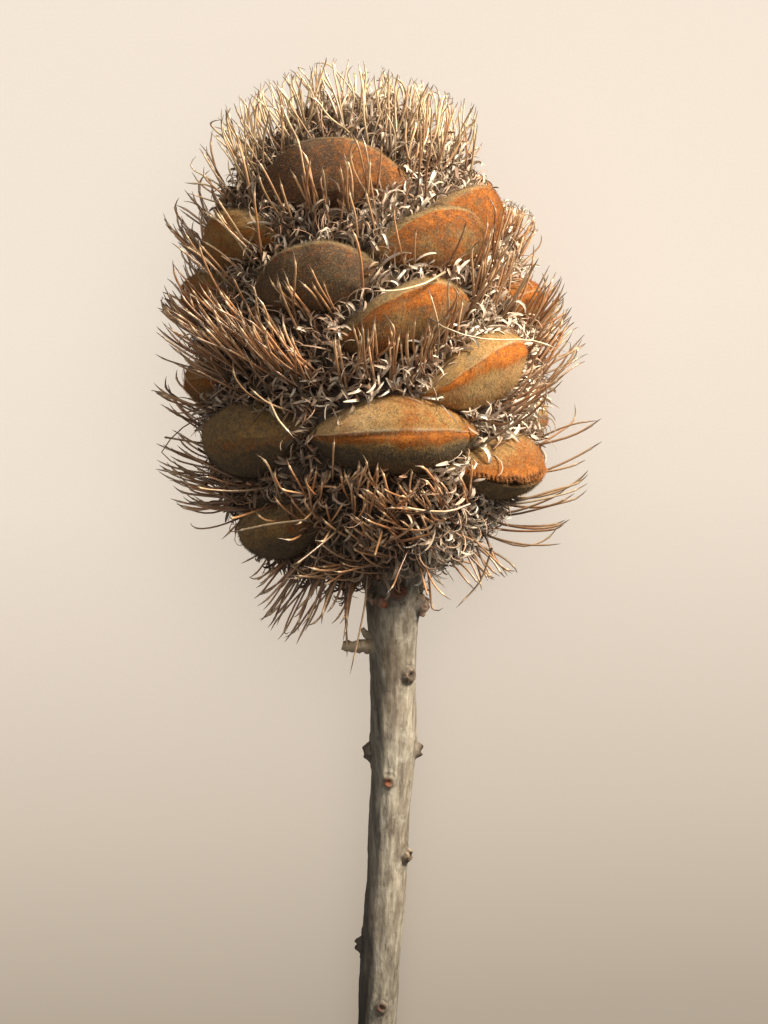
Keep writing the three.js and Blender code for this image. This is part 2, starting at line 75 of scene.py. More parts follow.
# where the suture lies over the follicle's height (-1 to 1), how blunt its ends are, where its peak is along it,
# warmth of the upper valve, of the band under the suture and of the lower valve, darkness, pale suture, painted
# highlight on the fuzzy top rim, opening
FOLLICLE_LOOK = {
    "follicle_01": (0.80, 0.50, -0.05, 0.60, 0.94, 0.92, 0.78, 0.05, 0.8, 0.0),
    "follicle_02": (0.72, 0.52, 0.10, 0.55, 0.90, 0.88, 0.28, 0.05, 0.8, 0.0),
    "follicle_03": (0.62, 0.62, 0.10, 0.20, 0.80, 0.62, 0.40, 0.10, 1.0, 0.0),
    "follicle_04": (0.50, 0.60, 0.00, 0.26, 0.55, 0.46, 0.00, 0.05, 0.9, 0.0),
    "follicle_05": (0.70, 0.55, 0.10, 0.28, 0.56, 0.50, 0.96, 0.05, 1.0, 0.0),
    "follicle_06": (0.35, 0.58, 0.00, 0.30, 0.70, 0.60, 0.20, 0.05, 0.2, 0.6),
    "follicle_07": (0.56, 0.66, 0.30, 0.22, 0.80, 0.56, 0.20, 0.20, 0.8, 0.0),
    "follicle_08": (0.30, 0.58, 0.10, 0.90, 1.00, 0.80, 0.00, 0.70, 0.2, 0.0),
    "follicle_09": (0.50, 0.74, 0.18, 0.34, 0.92, 0.44, 0.00, 0.45, 0.4, 0.0),
    "follicle_10": (0.20, 0.60, 0.00, 0.45, 0.62, 0.45, 0.10, 0.40, 0.3, 0.0),
    "follicle_11": (0.20, 0.72, 0.10, 0.25, 0.40, 0.20, 0.64, 0.05, 0.4, 0.0),
    "follicle_12": (0.13, 0.92, 0.02, 0.44, 0.88, 0.12, 0.05, 0.85, 0.1, 0.0),
    "follicle_13": (-0.10, 0.82, -0.05, 0.50, 0.98, 0.10, 0.04, 0.05, 0.5, 1.0),
    "follicle_14": (0.35, 0.58, 0.00, 0.25, 0.40, 0.24, 0.52, 0.05, 0.4, 0.0),
    "follicle_15": (0.10, 0.70, 0.05, 0.35, 0.60, 0.30, 0.15, 0.40, 0.3, 0.0),
    "follicle_16": (0.15, 0.70, -0.10, 0.30, 0.65, 0.30, 0.18, 0.35, 0.3, 0.0),
    "follicle_17": (0.45, 0.60, 0.00, 0.35, 0.60, 0.50, 0.15, 0.20, 0.6, 0.0),
    "follicle_18": (0.25, 0.66, 0.10, 0.45, 0.85, 0.40, 0.06, 0.50, 0.4, 0.0),
    "follicle_19": (0.10, 0.64, -0.10, 0.35, 0.60, 0.25, 0.18, 0.20, 0.3, 0.4),
    "follicle_20": (0.15, 0.72, 0.00, 0.45, 0.90, 0.25, 0.05, 0.60, 0.3, 0.0),
    "follicle_21": (0.10, 0.70, 0.10, 0.30, 0.55, 0.20, 0.20, 0.35, 0.3, 0.0),
    "follicle_22": (0.50, 0.58, 0.05, 0.40, 0.85, 0.65, 0.06, 0.20, 0.7, 0.0),
    "follicle_23": (0.45, 0.58, 0.00, 0.30, 0.55, 0.40, 0.25, 0.10, 0.6, 0.0),
}
BANDS = [("crown", 99.5, 114.5, 3, 30), ("upper", 86.0, 99.0, 5, 10), ("middle", 66.0, 85.5, 6, -20),
         ("lower", 42.0, 65.5, 6, 15), ("base", 20.0, 41.5, 6, -12), ("neck", 5.0, 19.5, 4, 20)]
RAD = math.pi / 180
PX = 0.25          # millimetres a pixel at the cone's axis
CAMERA_W = 700.0   # the camera's height over that axis, mm


def row(p):
    """Growing frame in millimetres to the row frame in metres."""
    return (np.asarray(p) @ LAY_R.T + LAY_T) * 0.001


def height(p):
    """Height over the surface the cone lies on, mm."""
    return p @ FLOOR_N + LAY_T[2]


def unit(a):
    return a / np.maximum(np.linalg.norm(a, axis=-1, keepdims=True), 1e-9)


_s = np.linspace(-4, CONE_LENGTH + 4, 1000)
_r = np.interp(_s, PROFILE[:, 0], PROFILE[:, 1], left=0, right=0)
_k = np.exp(-0.5 * (np.arange(-20, 21) * 0.125 / 1.6) ** 2); _k /= _k.sum()
_rs = np.convolve(np.pad(_r, 20, mode="edge"), _k, mode="valid")
_rs = np.where((_s > 8) & (_s < 108), _rs, _r)


def radius(s):
    return np.interp(s, _s, _rs)


def on_cone(s, phi, lift=0.0):
    """Point, outward normal, round and up directions on the bract mat. Arrays in, arrays out."""
    s, phi, lift = np.broadcast_arrays(np.asarray(s, float), np.asarray(phi, float), np.asarray(lift, float))
    slope = (radius(s + 1.5) - radius(s - 1.5)) / 3
    out = np.sin(phi)[..., None] * E_R + np.cos(phi)[..., None] * E_W
    n = unit(out - slope[..., None] * E_A)
    t = np.cos(phi)[..., None] * E_R - np.sin(phi)[..., None] * E_W
    up = np.cross(n, t)
    up = up * np.where((up @ E_A) < 0, -1.0, 1.0)[..., None]
    p = CONE_BASE + s[..., None] * E_A + radius(s)[..., None] * out + lift[..., None] * n
    return p, n, t, up


_lattice = np.random.default_rng(11).random((4, 32, 32, 32))


def noise(p, scale, which=0):
    """Smooth value noise from -1 to 1."""
    q = np.asarray(p, float) / scale + 17.3 * (which + 1)
    i = np.floor(q).astype(int)
    f = q - i
    f = f * f * (3 - 2 * f)
    i &= 31
    j = (i + 1) & 31
    L = _lattice[which % 4]
    x0, y0, z0 = i[..., 0], i[..., 1], i[..., 2]
    x1, y1, z1 = j[..., 0], j[..., 1], j[..., 2]
    fx, fy, fz = f[..., 0], f[..., 1], f[..., 2]
    a = (L[x0, y0, z0] * (1 - fx) + L[x1, y0, z0] * fx) * (1 - fy) + (L[x0, y1, z0] * (1 - fx) + L[x1, y1, z0] * fx) * fy
    b = (L[x0, y0, z1] * (1 - fx) + L[x1, y0, z1] * fx) * (1 - fy) + (L[x0, y1, z1] * (1 - fx) + L[x1, y1, z1] * fx) * fy
    return 2 * (a * (1 - fz) + b * fz) - 1


# ---------------------------------------------------------------- camera, where the photograph was taken from
camera_data = bpy.data.cameras.new("camera")
camera = bpy.data.objects.new("camera", camera_data)
bpy.context.scene.collection.objects.link(camera)
camera_data.sensor_width = 36.0
camera_data.lens = 36.0 * CAMERA_W / (1024 * PX)
camera_data.clip_start, camera_data.clip_end = 0.05, 20
_at = row(np.array([0.0, 0.0, CAMERA_W]))
camera.matrix_world = Matrix([[*LAY_R[0], _at[0]], [*LAY_R[1], _at[1]], [*LAY_R[2], _at[2]], [0, 0, 0, 1]])
bpy.context.scene.camera = camera


def pixel(p):
    """Where a point of the growing frame falls in the 768 x 1024 photograph."""
    k = 1 / (1 - p[..., 2] / CAMERA_W) / PX
    return np.stack([384 + p[..., 0] * k, 512 - p[..., 1] * k], -1)


_gs, _gp = np.meshgrid(np.linspace(1, CONE_LENGTH - 1, 230), np.linspace(-98, 98, 260) * RAD, indexing="ij")
_gs, _gp = _gs.ravel(), _gp.ravel()
_gpt, _gn, _, _ = on_cone(_gs, _gp, 2.0)
_gpx = pixel(_gpt)
_gseen = ((np.array([0, 0, CAMERA_W]) - _gpt) * _gn).sum(-1) > 0


def root_at(x, y):
    """s and phi on the mat under a pixel of the photograph."""
    d = (_gpx[:, 0] - x) ** 2 + (_gpx[:, 1] - y) ** 2 + np.where(_gseen, 0, 1e6)
    k = int(d.argmin())
    return float(_gs[k]), float(_gp[k])


# ---------------------------------------------------------------- follicles as shapes, for tests and for meshes
class Follicle:
    def __init__(self, name, s, phi, roll, pitch, a, b, c):
        self.name, self.s, self.a, self.b, self.c = name, s, a, b, c
        p, n, t, up = (v for v in on_cone(s, phi * RAD))
        pitch, roll = pitch * RAD, roll * RAD
        self.n = n * math.cos(pitch) + up * math.sin(pitch)
        up0 = up * math.cos(pitch) - n * math.sin(pitch)
        self.t = t * math.cos(roll) + up0 * math.sin(roll)
        self.up = up0 * math.cos(roll) - t * math.sin(roll)
        self.p = p
        self.bend = 2 * (float(radius(s)) + 5)

    def place(self, x, y, z):
        x, y, z = np.broadcast_arrays(x, y, z)
        return self.p + x[..., None] * self.t + y[..., None] * self.up + (z - x * x / self.bend)[..., None] * self.n

    def local(self, p):
        q = p - self.p
        x = q @ self.t
        return x, q @ self.up, q @ self.n + x * x / self.bend

    def inside(self, p, grow=0.0):
        x, y, z = self.local(p)
        k = np.clip(np.abs(x) / (self.a + grow), 0, 1)
        hb = self.b * (1 - k ** 2) ** 0.66 + grow
        hc = self.c * (1 - k ** 2.6) ** 0.60 + grow
        m = np.clip(np.abs(y) / np.maximum(hb, 1e-3), 0, 1)
        return (k < 1) & (m < 1) & (z < hc * np.sqrt(1 - m * m) * 1.04) & (z > -7)


follicles = [Follicle(*f) for f in FOLLICLES]


def in_follicle(p, grow=0.0):
    hit = np.zeros(p.shape[:-1], bool)
    for f in follicles:
        near = np.linalg.norm(p - f.p, axis=-1) < f.a + 8
        if near.any():
            hit[near] |= f.inside(p[near], grow)
    return hit


# ---------------------------------------------------------------- mesh building
class Soup:
    """Gathers tubes, ribbons, hairs and grids, then makes one mesh of them."""

    def __init__(self):
        self.v, self.faces, self.n = [], [], 0
        self.data = {}

    def add(self, verts, faces, uv, material=0, **values):
        """verts (n,3) in the growing frame; faces (m,k); uv (m,k,2); values are per-vertex numbers."""
        n = len(verts)
        self.v.append(verts)
        self.faces.append((faces + self.n, uv, material))
        for key in set(self.data) | set(values):
            rows = self.data.setdefault(key, [np.zeros(self.n)] if self.n else [])
            rows.append(np.broadcast_to(np.asarray(values.get(key, 0.0), float), (n,)))
        self.n += n

    def build(self, name, materials):
        me = bpy.data.meshes.new(name)
        v = np.concatenate(self.v)
        v = row(v + np.maximum(0.03 - height(v), 0)[:, None] * FLOOR_N)
        me.vertices.add(len(v))
        me.vertices.foreach_set("co", v.astype(np.float32).ravel())
        loops = np.concatenate([f.ravel() for f, _, _ in self.faces])
        totals = np.concatenate([np.full(len(f), f.shape[1]) for f, _, _ in self.faces])
        starts = np.concatenate([[0], np.cumsum(totals)[:-1]])
        me.loops.add(len(loops))
        me.loops.foreach_set("vertex_index", loops.astype(np.int32))
        me.polygons.add(len(totals))
        me.polygons.foreach_set("loop_start", starts.astype(np.int32))
        me.polygons.foreach_set("material_index", np.concatenate([np.full(len(f), m) for f, _, m in self.faces]).astype(np.int32))
        me.polygons.foreach_set("use_smooth", np.ones(len(totals), bool))
        for m in materials:
            me.materials.append(m)
        for key, rows in self.data.items():
            me.attributes.new(key, "FLOAT", "POINT").data.foreach_set("value", np.concatenate(rows).astype(np.float32))
        me.uv_layers.new(name="OFBake").uv.foreach_set("vector", np.concatenate([u.reshape(-1, 2) for _, u, _ in self.faces]).astype(np.float32).ravel())
        me.update(calc_edges=True)
        me.validate()
        o = bpy.data.objects.new(name, me)
        bpy.context.scene.collection.objects.link(o)
        return o


def cells(n, x0, y0, x1, y1, aspect):
    """n boxes in that part of the bake's map: left, bottom, width, height. aspect is a box's width over its height."""
    if n == 0:
        return np.zeros((0, 4))
    w, h = x1 - x0, y1 - y0
    cols = max(1, int(math.ceil(math.sqrt(n * w / h / aspect))))
    rows_ = int(math.ceil(n / cols))
    i = np.arange(n)
    cw, ch = w / cols, h / rows_
    return np.stack([x0 + (i % cols) * cw + 0.06 * cw, y0 + (i // cols) * ch + 0.06 * ch, np.full(n, 0.88 * cw), np.full(n, 0.88 * ch)], 1)


def grid_faces(rows_, cols, wrap):
    i, j = np.meshgrid(np.arange(rows_ - 1), np.arange(cols if wrap else cols - 1), indexing="ij")
    k = (j + 1) % cols
    return np.stack([i * cols + j, i * cols + k, (i + 1) * cols + k, (i + 1) * cols + j], -1).reshape(-1, 4), i.ravel(), j.ravel()


def tubes(P, R, sides, boxes, seed):
    """P (N,K,3), R (N,K): verts, faces, uv of tapered tubes with a closed tip."""
    N, K, _ = P.shape
    d = np.empty_like(P)
    d[:, 1:-1] = P[:, 2:] - P[:, :-2]
    d[:, 0], d[:, -1] = P[:, 1] - P[:, 0], P[:, -1] - P[:, -2]
    d = unit(d)
    g = np.random.default_rng(seed)
    mean = unit(P[:, -1] - P[:, 0])
    ref = unit(np.cross(mean, unit(g.normal(size=(N, 3)))))
    side = unit(ref[:, None] - (ref[:, None] * d).sum(-1, keepdims=True) * d)
    other = np.cross(d, side)
    a = 2 * np.pi * np.arange(sides) / sides
    V = P[:, :, None] + R[:, :, None, None] * (np.cos(a)[:, None] * side[:, :, None] + np.sin(a)[:, None] * other[:, :, None])
    f, fi, fj = grid_faces(K, sides, True)
    faces = (f[None] + (np.arange(N) * K * sides)[:, None, None]).reshape(-1, 4)
    cu = np.stack([fi, fi, fi + 1, fi + 1], -1) / (K - 1)
    cv = np.stack([fj, fj + 1, fj + 1, fj], -1) / sides
    uv = np.stack([boxes[:, None, None, 0] + boxes[:, None, None, 2] * cu, boxes[:, None, None, 1] + boxes[:, None, None, 3] * cv], -1).reshape(-1, 4, 2)
    return V.reshape(-1, 3), faces, uv


def ribbons(P, B, W, trough, boxes):
    """P (N,K,3) centre lines, B (N,K,3) width directions, W (N,K) half widths: trough-shaped strips three points wide."""
    N, K, _ = P.shape
    d = np.empty_like(P)
    d[:, 1:-1] = P[:, 2:] - P[:, :-2]
    d[:, 0], d[:, -1] = P[:, 1] - P[:, 0], P[:, -1] - P[:, -2]
    nrm = unit(np.cross(unit(d), B))
    V = np.stack([P - B * W[..., None], P - nrm * (trough[:, None] * W)[..., None], P + B * W[..., None]], 2)
    f, fi, fj = grid_faces(K, 3, False)
    faces = (f[None] + (np.arange(N) * K * 3)[:, None, None]).reshape(-1, 4)
    cu = np.stack([fi, fi, fi + 1, fi + 1], -1) / (K - 1)
    cv = np.stack([fj, fj + 1, fj + 1, fj], -1) / 2
    uv = np.stack([boxes[:, None, None, 0] + boxes[:, None, None, 2] * cu, boxes[:, None, None, 1] + boxes[:, None, None, 3] * cv], -1).reshape(-1, 4, 2)
    return V.reshape(-1, 3), faces, uv


# ---------------------------------------------------------------- materials
def material(name):
    m = bpy.data.materials.new(name)
    m.use_nodes = True
    nt = m.node_tree
    return m, nt, nt.nodes["Principled BSDF"]


class Nodes:
    """Short names for building node trees."""

    def __init__(self, nt):
        self.nt = nt

    def new(self, kind, **props):
        n = self.nt.nodes.new(kind)
        for k, v in props.items():
            setattr(n, k, v)
        return n

    def link(self, a, b):
        self.nt.links.new(a, b)

    def attr(self, name):
        return self.new("ShaderNodeAttribute", attribute_name=name, attribute_type="GEOMETRY").outputs["Fac"]

    def position(self, scale=(1, 1, 1)):
        g = self.new("ShaderNodeTexCoord")
        m = self.new("ShaderNodeMapping")
        m.inputs["Scale"].default_value = scale
        self.link(g.outputs["Object"], m.inputs["Vector"])
        return m.outputs["Vector"]

    def noise(self, vector, scale, detail=3.0, rough=0.5):
        n = self.new("ShaderNodeTexNoise")
        n.inputs["Scale"].default_value = scale
        n.inputs["Detail"].default_value = detail
        n.inputs["Roughness"].default_value = rough
        self.link(vector, n.inputs["Vector"])
        return n.outputs["Fac"]

    def math(self, op, a, b=None, clamp=False):
        n = self.new("ShaderNodeMath", operation=op, use_clamp=clamp)
        for i, x in enumerate((a, b)):
            if x is None:
                continue
            if isinstance(x, (int, float)):
                n.inputs[i].default_value = x
            else:
                self.link(x, n.inputs[i])
        return n.outputs[0]

    def span(self, x, lo, hi, to_lo=0.0, to_hi=1.0):
        n = self.new("ShaderNodeMapRange", clamp=True)
        n.inputs["From Min"].default_value, n.inputs["From Max"].default_value = lo, hi
        n.inputs["To Min"].default_value, n.inputs["To Max"].default_value = to_lo, to_hi
        self.link(x, n.inputs["Value"])
        return n.outputs["Result"]

    def ramp(self, x, stops):
        n = self.new("ShaderNodeValToRGB")
        e = n.color_ramp.elements
        while len(e) > 1:
            e.remove(e[-1])
        e[0].position, e[0].color = stops[0][0], (*stops[0][1], 1)
        for at, c in stops[1:]:
            k = e.new(at)
            k.color = (*c, 1)
        self.link(x, n.inputs["Fac"])
        return n.outputs["Color"]

    def mix(self, fac, a, b, kind="MIX"):
        n = self.new("ShaderNodeMix", data_type="RGBA", blend_type=kind)
        for sock, x in ((n.inputs[0], fac), (n.inputs[6], a), (n.inputs[7], b)):
            if isinstance(x, (int, float)):
                sock.default_value = x
            elif isinstance(x, tuple):
                sock.default_value = (*x, 1)
            else:
                self.link(x, sock)
        return n.outputs[2]

    def bump(self, h, strength, distance, to):
        n = self.new("ShaderNodeBump")
        n.inputs["Strength"].default_value = strength
        n.inputs["Distance"].default_value = distance
        self.link(h, n.inputs["Height"])
        self.link(n.outputs["Normal"], to.inputs["Normal"])


def style_material():
    m, nt, p = material("style")
    k = Nodes(nt)
    along, tone, straw = k.attr("along"), k.attr("tone"), k.attr("straw")
    # darker towards the root, down in the mat: partly the styles' own colour, partly painted shade
    brown = k.ramp(along, [(0.0, (0.060, 0.032, 0.020)), (0.20, (0.150, 0.068, 0.031)), (0.48, (0.360, 0.152, 0.056)), (0.78, (0.480, 0.222, 0.086)),
                           (0.85, (0.700, 0.480, 0.270)), (0.885, (0.280, 0.155, 0.075)), (0.94, (0.125, 0.074, 0.043)), (1.0, (0.060, 0.042, 0.030))])
    pale = k.ramp(along, [(0.0, (0.180, 0.130, 0.080)), (0.25, (0.420, 0.305, 0.170)), (0.6, (0.660, 0.505, 0.290)), (0.80, (0.730, 0.570, 0.345)),
                          (0.85, (0.820, 0.670, 0.440)), (0.89, (0.400, 0.275, 0.155)), (0.95, (0.210, 0.140, 0.085)), (1.0, (0.100, 0.070, 0.048))])
    both = k.mix(straw, brown, pale)
    v = k.position()
    fleck = k.noise(v, 900, 3, 0.6)
    both = k.mix(k.span(fleck, 0.38, 0.75, 0.0, 0.42), both, (0.150, 0.082, 0.045))
    shade = k.new("ShaderNodeHueSaturation")
    k.link(both, shade.inputs["Color"])
    k.link(k.span(tone, 0, 1, 0.46, 1.60), shade.inputs["Value"])
    k.link(k.span(fleck, 0.3, 0.7, 0.90, 1.1), shade.inputs["Saturation"])
    k.link(shade.outputs["Color"], p.inputs["Base Color"])
    k.link(k.span(fleck, 0.3, 0.7, 0.24, 0.42), p.inputs["Roughness"])
    p.inputs["Specular IOR Level"].default_value = 0.75
    k.bump(k.noise(k.position((1, 1, 1)), 1600, 2, 0.5), 0.2, 0.0001, p)
    return m


def bract_material():
    m, nt, p = material("bract")
    k = Nodes(nt)
    along, tone, straw = k.attr("along"), k.attr("tone"), k.attr("straw")
    c = k.ramp(tone, [(0.0, (0.118, 0.080, 0.050)), (0.26, (0.345, 0.245, 0.162)), (0.55, (0.640, 0.508, 0.366)), (0.8, (0.81, 0.690, 0.528)), (1.0, (0.90, 0.810, 0.665))])
    c = k.mix(k.span(straw, 0.45, 1.0, 0.0, 0.75), c, (0.440, 0.225, 0.115))
    # painted shade: each bit darkens towards its foot, down in the mat
    c = k.mix(k.span(along, 0.0, 0.35, 0.42, 0.0), c, (0.130, 0.084, 0.052), "MIX")
    n = k.noise(k.position(), 700, 4, 0.65)
    c = k.mix(k.span(n, 0.45, 0.72, 0.0, 0.40), c, (0.230, 0.155, 0.100))
    k.link(c, p.inputs["Base Color"])
    k.link(k.span(n, 0.3, 0.7, 0.55, 0.80), p.inputs["Roughness"])
    p.inputs["Specular IOR Level"].default_value = 0.4
    k.bump(n, 0.35, 0.0002, p)
    return m


def core_material():
    m, nt, p = material("core")
    k = Nodes(nt)
    v = k.position()
    n = k.noise(v, 420, 5, 0.65)
    c = k.ramp(n, [(0.3, (0.040, 0.028, 0.020)), (0.55, (0.105, 0.074, 0.050)), (0.75, (0.210, 0.155, 0.108))])
    k.link(c, p.inputs["Base Color"])
    k.link(k.span(n, 0.3, 0.7, 0.8, 0.95), p.inputs["Roughness"])
    k.bump(n, 0.9, 0.0008, p)
    return m


def velvet_material():
    m, nt, p = material("velvet")
    k = Nodes(nt)
    heat, dark, cream, tone, rim = k.attr("warmth"), k.attr("dark"), k.attr("cream"), k.attr("tone"), k.attr("rim")
    v = k.position()
    big = k.noise(v, 150, 3, 0.6)
    mid = k.noise(v, 520, 4, 0.65)
    fine = k.noise(v, 2600, 2, 0.6)
    grain = k.noise(v, 1250, 3, 0.6)
    h = k.math("ADD", k.math("ADD", heat, k.span(big, 0.3, 0.7, -0.24, 0.22)), k.span(mid, 0.34, 0.66, 0.12, -0.15), True)
    c = k.ramp(h, [(0.0, (0.250, 0.160, 0.074)), (0.36, (0.345, 0.196, 0.074)), (0.60, (0.300, 0.125, 0.042)), (0.82, (0.315, 0.098, 0.026)), (1.0, (0.410, 0.140, 0.036))])
    # painted highlight: golden-olive colour on the follicles' fuzzy top rims and upper valves, where the light catches
    # them
    c = k.mix(k.math("MULTIPLY", rim, 0.70), c, (0.325, 0.232, 0.120))
    # dark carries each follicle's own darker colour and its painted shade
    d = k.math("ADD", k.math("ADD", dark, k.span(mid, 0.35, 0.72, -0.26, 0.30)), k.span(grain, 0.42, 0.66, -0.10, 0.30), True)
    c = k.mix(k.math("MULTIPLY", d, 0.86), c, (0.050, 0.044, 0.035))
    c = k.mix(k.span(fine, 0.50, 0.70, 0.0, 0.45), c, (0.100, 0.048, 0.020))
    c = k.mix(k.span(fine, 0.30, 0.46, 0.26, 0.0), c, (0.56, 0.36, 0.165))
    c = k.mix(k.math("MULTIPLY", cream, 0.80), c, (0.56, 0.43, 0.28))
    shade = k.new("ShaderNodeHueSaturation")
    k.link(c, shade.inputs["Color"])
    k.link(k.span(tone, 0, 1, 0.60, 1.40), shade.inputs["Value"])
    shade.inputs["Saturation"].default_value = 1.06
    k.link(shade.outputs["Color"], p.inputs["Base Color"])
    p.inputs["Roughness"].default_value = 0.9
    p.inputs["Specular IOR Level"].default_value = 0.15
    p.inputs["Sheen Weight"].default_value = 0.09
    p.inputs["Sheen Roughness"].default_value = 0.5
    p.inputs["Sheen Tint"].default_value = (1.0, 0.80, 0.52, 1)
    k.bump(k.math("ADD", k.math("MULTIPLY", fine, 0.5), k.math("MULTIPLY", mid, 0.5)), 0.5, 0.0004, p)
    return m


def bark_material():
    m, nt, p = material("bark")
    k = Nodes(nt)
    streak = k.noise(k.position((1, 0.06, 1)), 760, 5, 0.66)
    patch = k.noise(k.position((1, 0.35, 1)), 110, 5, 0.65)
    speck = k.noise(k.position((1, 0.5, 1)), 900, 4, 0.7)
    pale = k.noise(k.position((1, 0.6, 1)), 260, 4, 0.6)
    c = k.ramp(streak, [(0.28, (0.085, 0.066, 0.046)), (0.42, (0.250, 0.208, 0.150)), (0.56, (0.395, 0.335, 0.245)), (0.74, (0.60, 0.530, 0.405))])
    c = k.mix(k.span(patch, 0.45, 0.63, 0.0, 0.78), c, (0.125, 0.088, 0.054))
    c = k.mix(k.span(pale, 0.58, 0.70, 0.0, 0.55), c, (0.56, 0.50, 0.395))
    c = k.mix(k.span(speck, 0.57, 0.72, 0.0, 0.65), c, (0.060, 0.040, 0.025))
    c = k.mix(k.attr("scar"), c, (0.070, 0.040, 0.023))
    c = k.mix(k.attr("red"), c, (0.34, 0.085, 0.030))
    c = k.mix(k.attr("wood"), c, (0.46, 0.335, 0.195))
    # painted shade on the bark, from the shade attribute; on the cut end the same attribute carries the wood's own
    # darker rings, heart and bark edge
    c = k.mix(k.attr("shade"), c, (0.026, 0.019, 0.013))
    k.link(c, p.inputs["Base Color"])
    k.link(k.span(streak, 0.3, 0.7, 0.66, 0.86), p.inputs["Roughness"])
    p.inputs["Specular IOR Level"].default_value = 0.35
    both = k.math("ADD", k.math("MULTIPLY", streak, 0.7), k.math("MULTIPLY", speck, 0.3))
    k.bump(both, 0.7, 0.0005, p)
    return m


STYLE, BRACT, CORE, VELVET, BARK = style_material(), bract_material(), core_material(), velvet_material(), bark_material()
pieces = []


def own(o, node):
    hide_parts(node)
    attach(o, "root")
    pieces.append(o)
    return o


